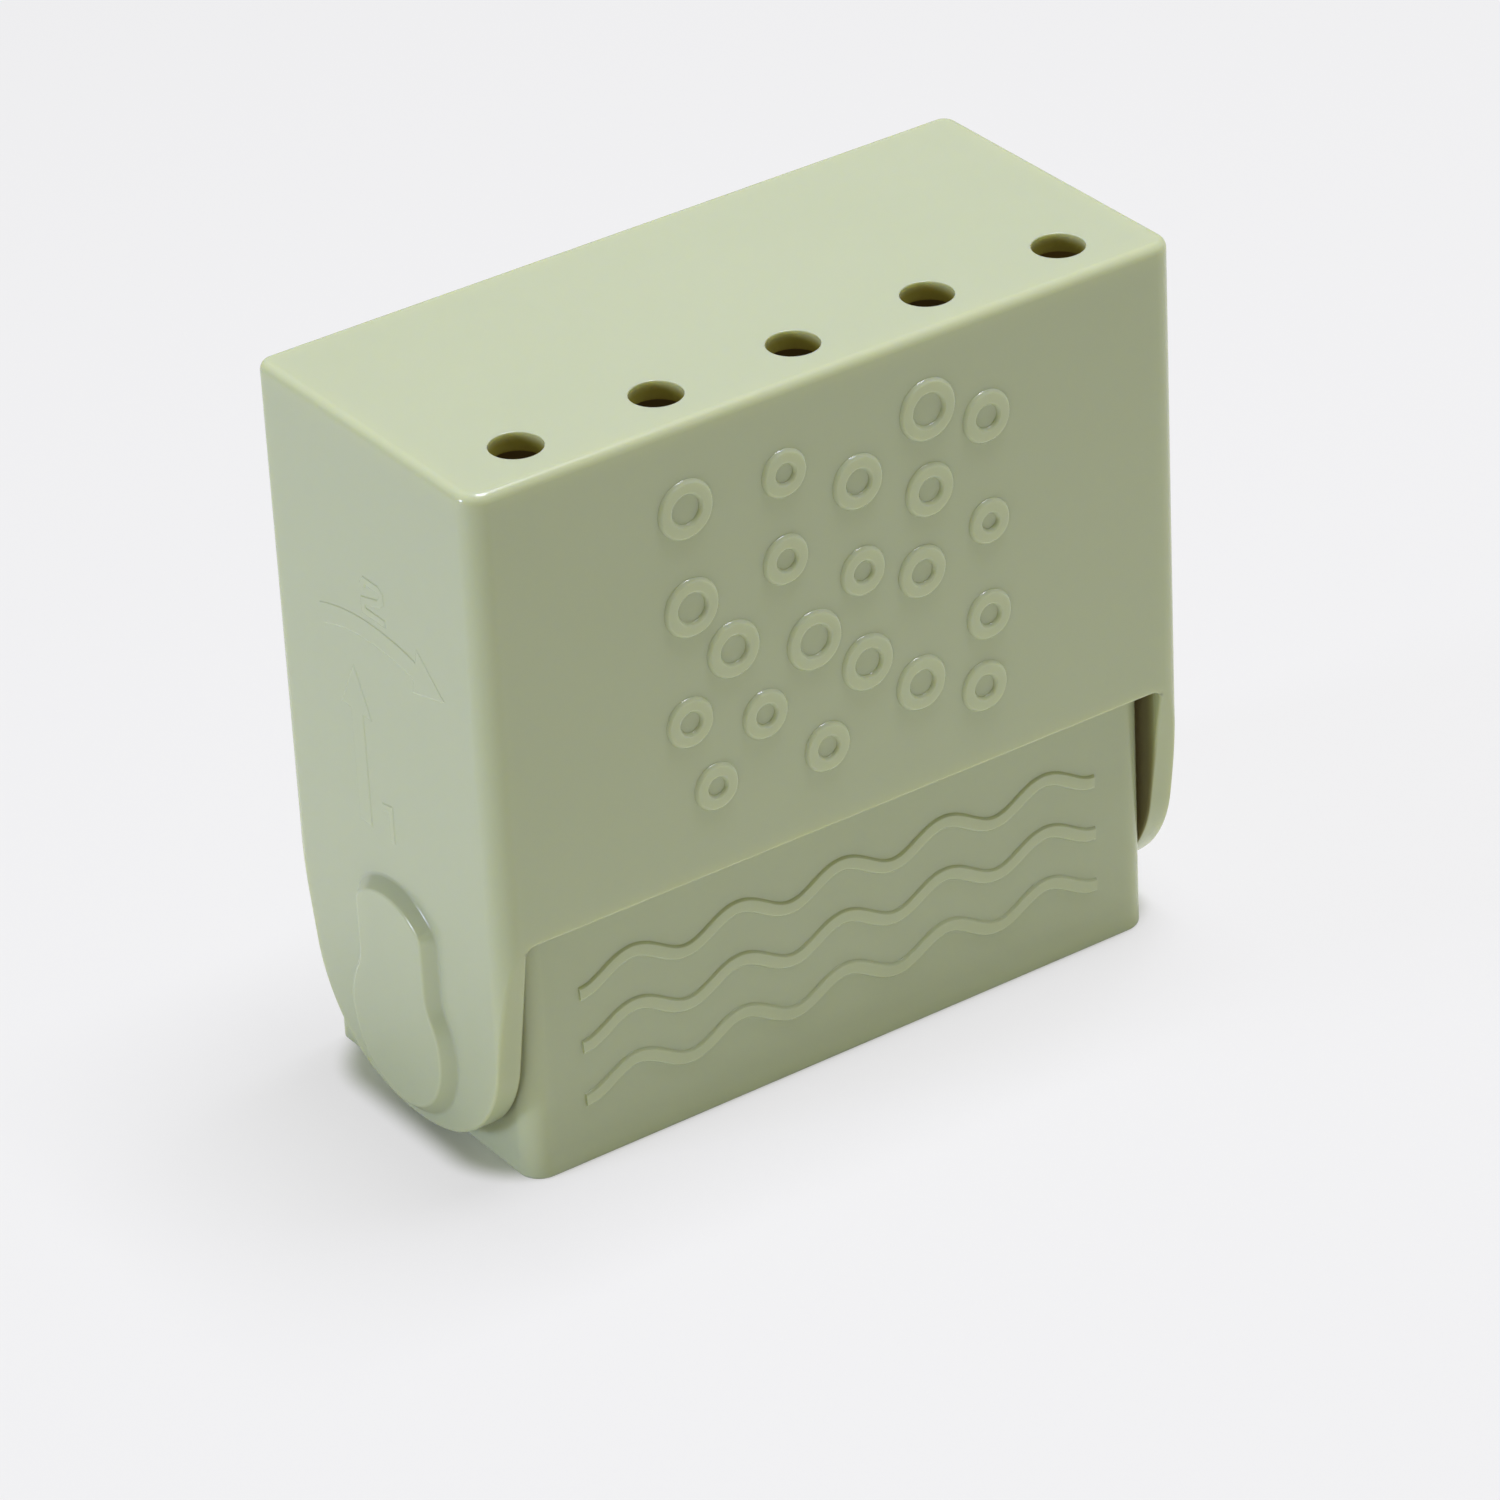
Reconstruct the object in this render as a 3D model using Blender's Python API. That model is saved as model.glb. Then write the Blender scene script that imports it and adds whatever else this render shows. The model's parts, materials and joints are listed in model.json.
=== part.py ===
"""Travel soap box in moulded plastic: a hood-shaped cover over an open tray.

The box stands on the tray. The cover hangs over it on two flat-sided pins that run in
keyhole tracks inside the cover's ears: it is lifted until the pins reach the round
pockets of the tracks, and only there can it swing forward.

Metres, +Z up. The origin is on the floor under the middle of the closed box, +X runs
along the front towards its right-hand ear, and the front face looks along -Y.
"""

import math

import bmesh
import bpy
from mathutils import Matrix, Vector

# Cover, measured on its flat faces
COVER_WIDTH = 0.1000
COVER_DEPTH = 0.0453
BOX_HEIGHT = 0.0949
ROOF_THICKNESS = 0.0025
FACE_WALL = 0.0025
EAR_THICKNESS = 0.0035
FRONT_UPRIGHT_RADIUS = 0.0030
BACK_UPRIGHT_RADIUS = 0.0020
ROOF_RADIUS = 0.00125
INNER_RADIUS = 0.0010

# Lower edges of the cover, above the floor
FACE_EDGE_HEIGHT = 0.0346
EAR_FLOOR_GAP = 0.0021
NOTCH_RADIUS = 0.0012

# Outline of an ear in the side view: it tapers from just below the front wall to its round
# end, whose radii are shares of the cover's depth
EAR_TAPER = math.radians(9.6)
EAR_TAPER_DROP = 0.0004
EAR_CORNER_SHARE = 0.389
EAR_END_SHARE = 0.583

# Drain holes in the roof, in one row behind the front face
HOLE_DIAMETER = 0.0065
HOLE_PITCH = 0.0192
HOLE_SETBACK = 0.00775
HOLE_SIDE_ROOM = 0.0110

# Pins on the tray, flat at the front and back, and the keyhole track around them
PIN_RADIUS = 0.0083
PIN_FLAT_WIDTH = 0.0114
PIN_EDGE = 0.0004
POCKET_HEIGHT = 0.0141
LIFT_TRAVEL = 0.0094

# Raised keyhole boss on the outside of each ear, which covers the track
BOSS_WALL = 0.0024
BOSS_RISE = 0.0016
BOSS_EDGE = 0.0015
BOSS_CORNER_RADIUS = 0.0030
BOSS_SHOULDER_RADIUS = 0.0050

# Tray
TRAY_WALL = 0.0022
TRAY_FLOOR = 0.0025
TRAY_FRONT_RADIUS = 0.0030
TRAY_REAR_RADIUS = 0.0012
TRAY_FOOT_RADIUS = 0.0005
RIM_CLEARANCE = 0.0010

# Ribs on the tray's floor that keep the soap out of the water
RIB_WIDTH = 0.0015
RIB_HEIGHT = 0.0015
RIB_END_GAP = 0.0030

# Running clearances
SIDE_GAP = 0.0004
TRACK_GAP = 0.0003
SEAT_GAP = 0.0003

# How far a cutter runs past what it cuts, and a joined piece into what it joins
OVERRUN = 0.0020
MERGE = 0.000005

# Facets on rounded forms
ARC_STEP = math.radians(5)
HOLE_FACETS = 40
EDGE_STEPS = 4

# Colours of the plastic, as linear values
COVER_COLOUR = (0.456, 0.491, 0.366, 1.0)
TRAY_COLOUR = (0.421, 0.455, 0.336, 1.0)
PLASTIC_ROUGHNESS = 0.38

# Places that follow from the sizes above
HALF_WIDTH = COVER_WIDTH / 2
HALF_DEPTH = COVER_DEPTH / 2
EAR_INNER_X = HALF_WIDTH - EAR_THICKNESS
FACE_INNER_Y = HALF_DEPTH - FACE_WALL
ROOF_INNER_Z = BOX_HEIGHT - ROOF_THICKNESS
EAR_CORNER_RADIUS = COVER_DEPTH * EAR_CORNER_SHARE
EAR_END_RADIUS = COVER_DEPTH * EAR_END_SHARE
EAR_CENTRE_Z = EAR_FLOOR_GAP + EAR_END_RADIUS
EAR_TAPER_Z = FACE_EDGE_HEIGHT - EAR_TAPER_DROP
PIN_Z = POCKET_HEIGHT + LIFT_TRAVEL
TRACK_FLOOR_X = HALF_WIDTH + BOSS_RISE - BOSS_WALL
PIN_TIP_X = TRACK_FLOOR_X - TRACK_GAP
TRAY_SIDE_X = EAR_INNER_X - SIDE_GAP
TRAY_FRONT_Y = -(FACE_INNER_Y - SIDE_GAP)
TRAY_LAP_Y = FACE_INNER_Y - SIDE_GAP
TRAY_RIM_Z = FACE_EDGE_HEIGHT + LIFT_TRAVEL - RIM_CLEARANCE
REAR_RIM_Z = FACE_EDGE_HEIGHT - SEAT_GAP
HOLE_COUNT = math.floor((COVER_WIDTH - 2 * HOLE_SIDE_ROOM) / HOLE_PITCH) + 1


def clear_scene():
    """Removes whatever the file opened with."""
    for item in list(bpy.data.objects):
        bpy.data.objects.remove(item, do_unlink=True)


def new_collection(name):
    """A collection of the given name, linked to the scene."""
    collection = bpy.data.collections.new(name)
    bpy.context.scene.collection.children.link(collection)
    return collection


def plastic(name, colour):
    """Satin moulded plastic of one colour."""
    material = bpy.data.materials.new(name)
    material.use_nodes = True
    shader = material.node_tree.nodes["Principled BSDF"]
    shader.inputs["Base Color"].default_value = colour
    shader.inputs["Roughness"].default_value = PLASTIC_ROUGHNESS
    shader.inputs["Metallic"].default_value = 0
    material.diffuse_color = colour
    return material


def mesh_object(name, bm, collection):
    """An object in the collection that takes over the given bmesh."""
    mesh = bpy.data.meshes.new(name)
    bm.to_mesh(mesh)
    bm.free()
    item = bpy.data.objects.new(name, mesh)
    collection.objects.link(item)
    return item


def round_uprights(bm, is_rounded, radius, steps=EDGE_STEPS):
    """Bevels the upright edges whose middle passes the test."""
    edges = []
    for edge in bm.edges:
        low, high = edge.verts[0].co, edge.verts[1].co
        upright = abs(low.x - high.x) < MERGE and abs(low.y - high.y) < MERGE
        if upright and is_rounded((low + high) / 2):
            edges.append(edge)
    bmesh.ops.bevel(bm, geom=edges, offset=radius, offset_type='OFFSET', segments=steps,
                    profile=0.5, affect='EDGES', clamp_overlap=True)


def round_level_loop(bm, height, radius, steps=EDGE_STEPS):
    """Bevels the closed loop of outer edges that lies at one height."""
    edges = []
    for edge in bm.edges:
        level = all(abs(vert.co.z - height) < MERGE for vert in edge.verts)
        if level and edge.calc_face_angle(0) > math.radians(45):
            edges.append(edge)
    bmesh.ops.bevel(bm, geom=edges, offset=radius, offset_type='OFFSET', segments=steps,
                    profile=0.5, affect='EDGES', clamp_overlap=True)


def add_block(bm, middle, size):
    """Adds a box of the given size to the bmesh."""
    place = Matrix.Translation(middle) @ Matrix.Diagonal((*size, 1))
    bmesh.ops.create_cube(bm, size=1, matrix=place)


def box_bmesh(low, high):
    """A box between two corners, as a bmesh."""
    low, high = Vector(low), Vector(high)
    bm = bmesh.new()
    add_block(bm, (low + high) / 2, high - low)
    return bm


def as_cutter(item):
    """Marks an object as a tool that isn't part of the box."""
    item.hide_render = True
    item.display_type = 'WIRE'
    return item


def arc(centre, radius, start, end):
    """Points along an arc in the side view, both ends included."""
    count = max(2, math.ceil(abs(end - start) / ARC_STEP))
    points = []
    for index in range(count + 1):
        angle = start + (end - start) * index / count
        points.append((centre[0] + radius * math.cos(angle), centre[1] + radius * math.sin(angle)))
    return points


def without_repeats(points):
    """The closed outline with neighbouring points that coincide taken out."""
    kept = []
    for point in points:
        if not kept or math.dist(point, kept[-1]) > MERGE:
            kept.append(point)
    if math.dist(kept[0], kept[-1]) < MERGE:
        kept.pop()
    return kept


def keyhole_outline(radius, half_width, pocket_z, end_z, corner, shoulder):
    """Keyhole in the side view: a round pocket below, a slot above with an arched end.

    The two corners of the arched end are rounded by corner, and the two hollow
    shoulders, where the slot meets the pocket, by shoulder. Either may be zero.
    """
    end_rise = math.sqrt((radius - corner) ** 2 - (half_width - corner) ** 2)
    corner_centre = (half_width - corner, end_z + end_rise)
    corner_angle = math.atan2(end_rise, half_width - corner)
    shoulder_rise = math.sqrt((radius + shoulder) ** 2 - (half_width + shoulder) ** 2)
    shoulder_centre = (half_width + shoulder, pocket_z + shoulder_rise)
    shoulder_angle = math.atan2(shoulder_rise, half_width + shoulder)

    right = arc((0, pocket_z), radius, -math.pi / 2, shoulder_angle)
    if shoulder:
        right += arc(shoulder_centre, shoulder, shoulder_angle + math.pi, math.pi)
    if corner:
        right += arc(corner_centre, corner, 0, corner_angle)
    right += arc((0, end_z), radius, corner_angle, math.pi / 2)
    left = [(-y, z) for y, z in reversed(right)]
    return without_repeats(right + left)


def ear_corner():
    """Middle of the arc that joins an ear's tapered edge to its round end."""
    outward = Vector((math.cos(EAR_TAPER), -math.sin(EAR_TAPER)))
    upward = Vector((math.sin(EAR_TAPER), math.cos(EAR_TAPER)))
    end_middle = Vector((0, EAR_CENTRE_Z))
    edge_reach = outward.dot(Vector((HALF_DEPTH, EAR_TAPER_Z)))
    foot = outward * (edge_reach - EAR_CORNER_RADIUS)
    along = (foot - end_middle).dot(upward)
    beyond = (foot - end_middle).length_squared - (EAR_END_RADIUS - EAR_CORNER_RADIUS) ** 2
    return foot - upward * (along + math.sqrt(along ** 2 - beyond))


def ear_foot_outline():
    """What the tapered edges and the round end of an ear leave out."""
    middle = ear_corner()
    turn = math.atan2(middle.y - EAR_CENTRE_Z, middle.x)
    right = arc((0, EAR_CENTRE_Z), EAR_END_RADIUS, -math.pi / 2, turn)
    right += arc(tuple(middle), EAR_CORNER_RADIUS, turn, -EAR_TAPER)
    right.append((HALF_DEPTH + OVERRUN, EAR_TAPER_Z + OVERRUN / math.tan(EAR_TAPER)))
    right.append((HALF_DEPTH + OVERRUN, -OVERRUN))
    left = [(-y, z) for y, z in reversed(right)]
    return without_repeats(left + right)


def pin_outline():
    """Round pin with a flat at the front and at the back."""
    flat = PIN_FLAT_WIDTH / 2
    reach = math.acos(flat / PIN_RADIUS)
    upper = arc((0, PIN_Z), PIN_RADIUS, reach, math.pi - reach)
    lower = arc((0, PIN_Z), PIN_RADIUS, math.pi + reach, 2 * math.pi - reach)
    return upper + lower


def side_plate(name, outline, near_x, far_x, collection, edge=0.0):
    """A plate with an outline in the side view, from near_x to far_x.

    With an edge size, both its rims are rounded by that size within the outline.
    """
    curve = bpy.data.curves.new(name, 'CURVE')
    curve.dimensions = '2D'
    curve.fill_mode = 'BOTH'
    curve.extrude = abs(far_x - near_x) / 2 - edge
    curve.bevel_depth = edge
    curve.bevel_resolution = EDGE_STEPS - 2
    curve.offset = -edge
    spline = curve.splines.new('POLY')
    spline.points.add(len(outline) - 1)
    for point, (y, z) in zip(spline.points, outline):
        point.co = (y, z, 0, 1)
    spline.use_cyclic_u = True

    drawn = bpy.data.objects.new(name, curve)
    collection.objects.link(drawn)
    bpy.context.view_layer.update()
    mesh = bpy.data.meshes.new_from_object(drawn.evaluated_get(bpy.context.evaluated_depsgraph_get()))
    bpy.data.objects.remove(drawn, do_unlink=True)
    bm = bmesh.new()
    bm.from_mesh(mesh)
    bpy.data.meshes.remove(mesh)
    bmesh.ops.remove_doubles(bm, verts=bm.verts, dist=MERGE)

    # The curve is drawn in its own XY plane: X becomes the box's Y, Y its Z, and Z its X
    stand_up = Matrix(((0, 0, 1, (near_x + far_x) / 2), (1, 0, 0, 0), (0, 1, 0, 0), (0, 0, 0, 1)))
    bmesh.ops.transform(bm, matrix=stand_up, verts=bm.verts)
    bmesh.ops.recalc_face_normals(bm, faces=bm.faces)
    return mesh_object(name, bm, collection)


def add_boolean(target, other, operation):
    """Joins or cuts the target with another object."""
    modifier = target.modifiers.new(other.name, 'BOOLEAN')
    modifier.object = other
    modifier.operation = operation
    modifier.solver = 'EXACT'
    return modifier


def shade_round_faces(item):
    """Smooth shading with the real corners kept sharp."""
    item.data.shade_smooth()
    item.data.set_sharp_from_angle(angle=math.radians(30))


def apply_modifiers(item):
    """Turns the modelled result into the object's own mesh, for a clean round shading."""
    bpy.context.view_layer.update()
    evaluated = item.evaluated_get(bpy.context.evaluated_depsgraph_get())
    mesh = bpy.data.meshes.new_from_object(evaluated)
    item.modifiers.clear()
    item.data = mesh
    shade_round_faces(item)


def hood_block(collection):
    """The cover's outside as one rounded block, from below the ears to the roof."""
    bm = box_bmesh((-HALF_WIDTH, -HALF_DEPTH, 0), (HALF_WIDTH, HALF_DEPTH, BOX_HEIGHT))
    round_uprights(bm, lambda middle: middle.y < 0, FRONT_UPRIGHT_RADIUS, steps=2 * EDGE_STEPS)
    round_uprights(bm, lambda middle: middle.y > 0, BACK_UPRIGHT_RADIUS, steps=2 * EDGE_STEPS)
    round_level_loop(bm, BOX_HEIGHT, ROOF_RADIUS)
    return mesh_object("outer_cover", bm, collection)


def hood_hollow(cutters):
    """The room inside the cover, open at the bottom."""
    low = (-EAR_INNER_X, -FACE_INNER_Y, -OVERRUN)
    high = (EAR_INNER_X, FACE_INNER_Y, ROOF_INNER_Z)
    bm = box_bmesh(low, high)
    round_uprights(bm, lambda middle: True, INNER_RADIUS)
    return as_cutter(mesh_object("cover_hollow", bm, cutters))


def ear_gap(cutters):
    """The room between the ears, which ends the front and back walls above the tray."""
    low = (-EAR_INNER_X, -HALF_DEPTH - OVERRUN, -OVERRUN)
    high = (EAR_INNER_X, HALF_DEPTH + OVERRUN, FACE_EDGE_HEIGHT)
    bm = box_bmesh(low, high)
    along_y = []
    for edge in bm.edges:
        if all(abs(vert.co.z - FACE_EDGE_HEIGHT) < MERGE for vert in edge.verts):
            if abs(edge.verts[0].co.x - edge.verts[1].co.x) < MERGE:
                along_y.append(edge)
    bmesh.ops.bevel(bm, geom=along_y, offset=NOTCH_RADIUS, offset_type='OFFSET', segments=EDGE_STEPS,
                    profile=0.5, affect='EDGES', clamp_overlap=True)
    return as_cutter(mesh_object("ear_gap", bm, cutters))


def drain_holes(cutters):
    """The row of round holes through the roof, as one cutter."""
    bm = bmesh.new()
    length = ROOF_THICKNESS + 2 * OVERRUN
    for index in range(HOLE_COUNT):
        x = (index - (HOLE_COUNT - 1) / 2) * HOLE_PITCH
        place = Matrix.Translation((x, HOLE_SETBACK - HALF_DEPTH, BOX_HEIGHT - ROOF_THICKNESS / 2))
        bmesh.ops.create_cone(bm, cap_ends=True, segments=HOLE_FACETS, radius1=HOLE_DIAMETER / 2,
                              radius2=HOLE_DIAMETER / 2, depth=length, matrix=place)
    return as_cutter(mesh_object("drain_holes", bm, cutters))


def build_cover(collection, cutters):
    """The hood: roof with drain holes, short front and back walls, and two long ears."""
    cover = hood_block(collection)
    foot = as_cutter(side_plate("ear_feet", ear_foot_outline(), -HALF_WIDTH - OVERRUN,
                                HALF_WIDTH + OVERRUN, cutters))
    add_boolean(cover, foot, 'DIFFERENCE')

    boss_radius = PIN_RADIUS + TRACK_GAP + BOSS_WALL
    boss_half_width = PIN_FLAT_WIDTH / 2 + TRACK_GAP + BOSS_WALL
    boss_outline = keyhole_outline(boss_radius, boss_half_width, POCKET_HEIGHT, PIN_Z,
                                   BOSS_CORNER_RADIUS, BOSS_SHOULDER_RADIUS)
    track_outline = keyhole_outline(PIN_RADIUS + TRACK_GAP, PIN_FLAT_WIDTH / 2 + TRACK_GAP,
                                    POCKET_HEIGHT, PIN_Z, 0, 0)
    boss_root_x = HALF_WIDTH - BOSS_EDGE - TRACK_GAP
    for side, label in ((-1, "left"), (1, "right")):
        boss = side_plate(f"{label}_boss", boss_outline, side * boss_root_x,
                          side * (HALF_WIDTH + BOSS_RISE), cutters, edge=BOSS_EDGE)
        add_boolean(cover, as_cutter(boss), 'UNION')
    add_boolean(cover, hood_hollow(cutters), 'DIFFERENCE')
    add_boolean(cover, ear_gap(cutters), 'DIFFERENCE')
    for side, label in ((-1, "left"), (1, "right")):
        track = side_plate(f"{label}_track", track_outline, side * (EAR_INNER_X - OVERRUN),
                           side * TRACK_FLOOR_X, cutters)
        add_boolean(cover, as_cutter(track), 'DIFFERENCE')
    add_boolean(cover, drain_holes(cutters), 'DIFFERENCE')
    apply_modifiers(cover)
    cover.data.materials.clear()
    cover.data.materials.append(plastic("cover_plastic", COVER_COLOUR))
    return cover


def tray_block(collection):
    """The tray's outside. Its back lies flush with the cover's back wall, which it carries."""
    low = (-TRAY_SIDE_X, TRAY_FRONT_Y, 0)
    high = (TRAY_SIDE_X, HALF_DEPTH, TRAY_RIM_Z)
    bm = box_bmesh(low, high)
    round_uprights(bm, lambda middle: middle.y < 0, TRAY_FRONT_RADIUS, steps=2 * EDGE_STEPS)
    round_uprights(bm, lambda middle: middle.y > 0, TRAY_REAR_RADIUS)
    round_level_loop(bm, 0, TRAY_FOOT_RADIUS, steps=2)
    return mesh_object("inner_tray", bm, collection)


def rear_lap_cutter(cutters):
    """What the tray leaves to the cover's back wall: everything behind the lap line."""
    low = (-HALF_WIDTH, TRAY_LAP_Y, REAR_RIM_Z)
    high = (HALF_WIDTH, HALF_DEPTH + OVERRUN, TRAY_RIM_Z + OVERRUN)
    return as_cutter(mesh_object("rear_lap", box_bmesh(low, high), cutters))


def tray_hollow(cutters):
    """The room inside the tray. It runs to the back wall, which is lower than the others."""
    low = (-TRAY_SIDE_X + TRAY_WALL, TRAY_FRONT_Y + TRAY_WALL, TRAY_FLOOR)
    high = (TRAY_SIDE_X - TRAY_WALL, HALF_DEPTH - TRAY_WALL, TRAY_RIM_Z + OVERRUN)
    bm = box_bmesh(low, high)
    round_uprights(bm, lambda middle: True, TRAY_FRONT_RADIUS - TRAY_WALL)
    return as_cutter(mesh_object("tray_hollow", bm, cutters))


def floor_ribs(cutters):
    """Low ribs from front to back on the tray's floor, one below each drain hole."""
    bm = bmesh.new()
    front_y = TRAY_FRONT_Y + TRAY_WALL + RIB_END_GAP
    back_y = HALF_DEPTH - TRAY_WALL - RIB_END_GAP
    low_z = TRAY_FLOOR / 2
    high_z = TRAY_FLOOR + RIB_HEIGHT
    size = (RIB_WIDTH, back_y - front_y, high_z - low_z)
    for index in range(HOLE_COUNT):
        x = (index - (HOLE_COUNT - 1) / 2) * HOLE_PITCH
        add_block(bm, (x, (front_y + back_y) / 2, (low_z + high_z) / 2), size)
    return as_cutter(mesh_object("floor_ribs", bm, cutters))


def build_tray(collection, cutters):
    """The open tray with its two flat-sided pins."""
    tray = tray_block(collection)
    add_boolean(tray, rear_lap_cutter(cutters), 'DIFFERENCE')
    add_boolean(tray, tray_hollow(cutters), 'DIFFERENCE')
    add_boolean(tray, floor_ribs(cutters), 'UNION')
    pin_root_x = TRAY_SIDE_X - TRAY_WALL / 2
    for side, label in ((-1, "left"), (1, "right")):
        pin = side_plate(f"{label}_pin", pin_outline(), side * pin_root_x, side * PIN_TIP_X,
                         cutters, edge=PIN_EDGE)
        add_boolean(tray, as_cutter(pin), 'UNION')
    apply_modifiers(tray)
    tray.data.materials.clear()
    tray.data.materials.append(plastic("tray_plastic", TRAY_COLOUR))
    return tray


def main():
    """Builds the two mouldings."""
    clear_scene()
    soap_box = new_collection("soap_box")
    cutters = new_collection("soap_box_cutters")
    build_tray(soap_box, cutters)
    build_cover(soap_box, cutters)


main()
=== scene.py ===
"""Looks of the travel soap box: two sage mouldings on a pale floor.

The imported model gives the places. Each moulding is modelled again with its real radii,
soft lips and raised marks, dressed in its plastic, and laid over its node.
Metres, +Z up, the front face looks along -Y.
"""

import json
import logging
import math
from dataclasses import dataclass, field
from enum import Enum
from typing import Callable, Iterable, Sequence

import bmesh
import bpy
from mathutils import Matrix, Vector

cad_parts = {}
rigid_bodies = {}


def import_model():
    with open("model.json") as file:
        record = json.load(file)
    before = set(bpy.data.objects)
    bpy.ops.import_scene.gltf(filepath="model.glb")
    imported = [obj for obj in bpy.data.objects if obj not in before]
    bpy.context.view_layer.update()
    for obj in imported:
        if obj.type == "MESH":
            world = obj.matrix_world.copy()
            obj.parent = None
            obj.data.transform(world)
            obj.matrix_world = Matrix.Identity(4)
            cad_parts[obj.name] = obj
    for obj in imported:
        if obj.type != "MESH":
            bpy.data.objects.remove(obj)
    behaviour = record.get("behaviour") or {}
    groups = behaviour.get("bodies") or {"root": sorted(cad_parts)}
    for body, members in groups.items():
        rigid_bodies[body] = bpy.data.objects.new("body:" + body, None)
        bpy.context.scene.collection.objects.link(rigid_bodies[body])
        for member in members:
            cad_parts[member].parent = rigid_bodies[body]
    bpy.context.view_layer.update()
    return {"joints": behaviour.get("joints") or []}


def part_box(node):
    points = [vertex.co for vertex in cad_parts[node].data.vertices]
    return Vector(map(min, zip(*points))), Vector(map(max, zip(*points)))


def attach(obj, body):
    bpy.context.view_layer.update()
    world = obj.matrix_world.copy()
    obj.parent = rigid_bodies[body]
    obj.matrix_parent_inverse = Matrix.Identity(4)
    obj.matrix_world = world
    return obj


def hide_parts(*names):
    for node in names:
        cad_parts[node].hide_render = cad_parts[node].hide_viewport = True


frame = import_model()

log = logging.getLogger("soap_box")

Point = tuple[float, float]
Place = tuple[float, float, float]
Colour = tuple[float, float, float, float]
Form = bmesh.types.BMesh
Edge = bmesh.types.BMEdge
EdgeTest = Callable[[Edge], bool]
Piece = bpy.types.Object
Material = bpy.types.Material
Tree = bpy.types.NodeTree
Node = bpy.types.Node
Socket = bpy.types.NodeSocket

FLAT = 1e-6
NEAR = 1e-5
STRAIGHT_ANGLE = math.radians(0.2)
FAINT_ANGLE = math.radians(4)
LIP_ANGLE = math.radians(32)
SHARP_ANGLE = math.radians(35)
CORNER_ANGLE = math.radians(45)


class Side(Enum):
    """The two ears, by the direction that they face along X."""

    LEFT = -1
    RIGHT = 1

    @property
    def label(self) -> str:
        """Word for the ear in the names of pieces."""
        return self.name.lower()


class Join(Enum):
    """Ways to put two closed meshes together."""

    ADD = 'UNION'
    CUT = 'DIFFERENCE'


class Kind(Enum):
    """Kinds of socket that a group takes or gives."""

    NUMBER = 'NodeSocketFloat'
    WHOLE = 'NodeSocketInt'
    COLOUR = 'NodeSocketColor'
    PLACE = 'NodeSocketVector'
    SHAPE = 'NodeSocketGeometry'
    FINISH = 'NodeSocketMaterial'


@dataclass(frozen=True)
class EarOutline:
    """Side view of an ear: tapered edges, a corner arc on each side, a round end."""

    half_depth: float
    taper_z: float
    floor_gap: float = 0.0021
    taper: float = math.radians(9.6)
    corner_share: float = 0.389
    end_share: float = 0.583
    steps: int = 40

    def front_half(self) -> list[Point]:
        """One half of the outline.

        Returns:
            (y, z) points from the lowest one up to the taper's start.
        """
        end_radius = 2 * self.half_depth * self.end_share
        corner_radius = 2 * self.half_depth * self.corner_share
        outward = Vector((math.cos(self.taper), -math.sin(self.taper)))
        upward = Vector((math.sin(self.taper), math.cos(self.taper)))
        end_middle = Vector((0, self.floor_gap + end_radius))
        edge_light_reach = outward.dot(Vector((self.half_depth, self.taper_z)))
        foot = outward * (edge_light_reach - corner_radius)
        along = (foot - end_middle).dot(upward)
        beyond = (foot - end_middle).length_squared - (end_radius - corner_radius) ** 2
        corner = foot - upward * (along + math.sqrt(along ** 2 - beyond))
        turn = math.atan2(corner.y - end_middle.y, corner.x)
        points = arc(tuple(end_middle), end_radius, -math.pi / 2, turn, self.steps)
        points += arc(tuple(corner), corner_radius, turn, -self.taper, self.steps)
        return points + [(self.half_depth, self.taper_z)]

    def cutter(self, overrun: float) -> list[Point]:
        """The outline of what the ears leave out.

        Args:
            overrun: How far it runs past the cover on all sides.

        Returns:
            Closed (y, z) points.
        """
        outer_y = self.half_depth + overrun
        right = self.front_half()
        right += [(outer_y, self.taper_z + overrun / math.tan(self.taper)), (outer_y, -overrun)]
        return without_repeats([(-y, z) for y, z in reversed(right)] + right)

    def carries(self, spot: Vector) -> bool:
        """Tests whether a point lies on the outline.

        Args:
            spot: The point; its X doesn't count.

        Returns:
            Whether it does.
        """
        flat = Vector((abs(spot.y), spot.z))
        points = [Vector(point) for point in self.front_half()]
        for start, end in zip(points, points[1:]):
            step = end - start
            share = (flat - start).dot(step) / step.length_squared if step.length > FLAT else 0.0
            if (start + step * min(max(share, 0.0), 1.0) - flat).length < NEAR:
                return True
        return False


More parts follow.
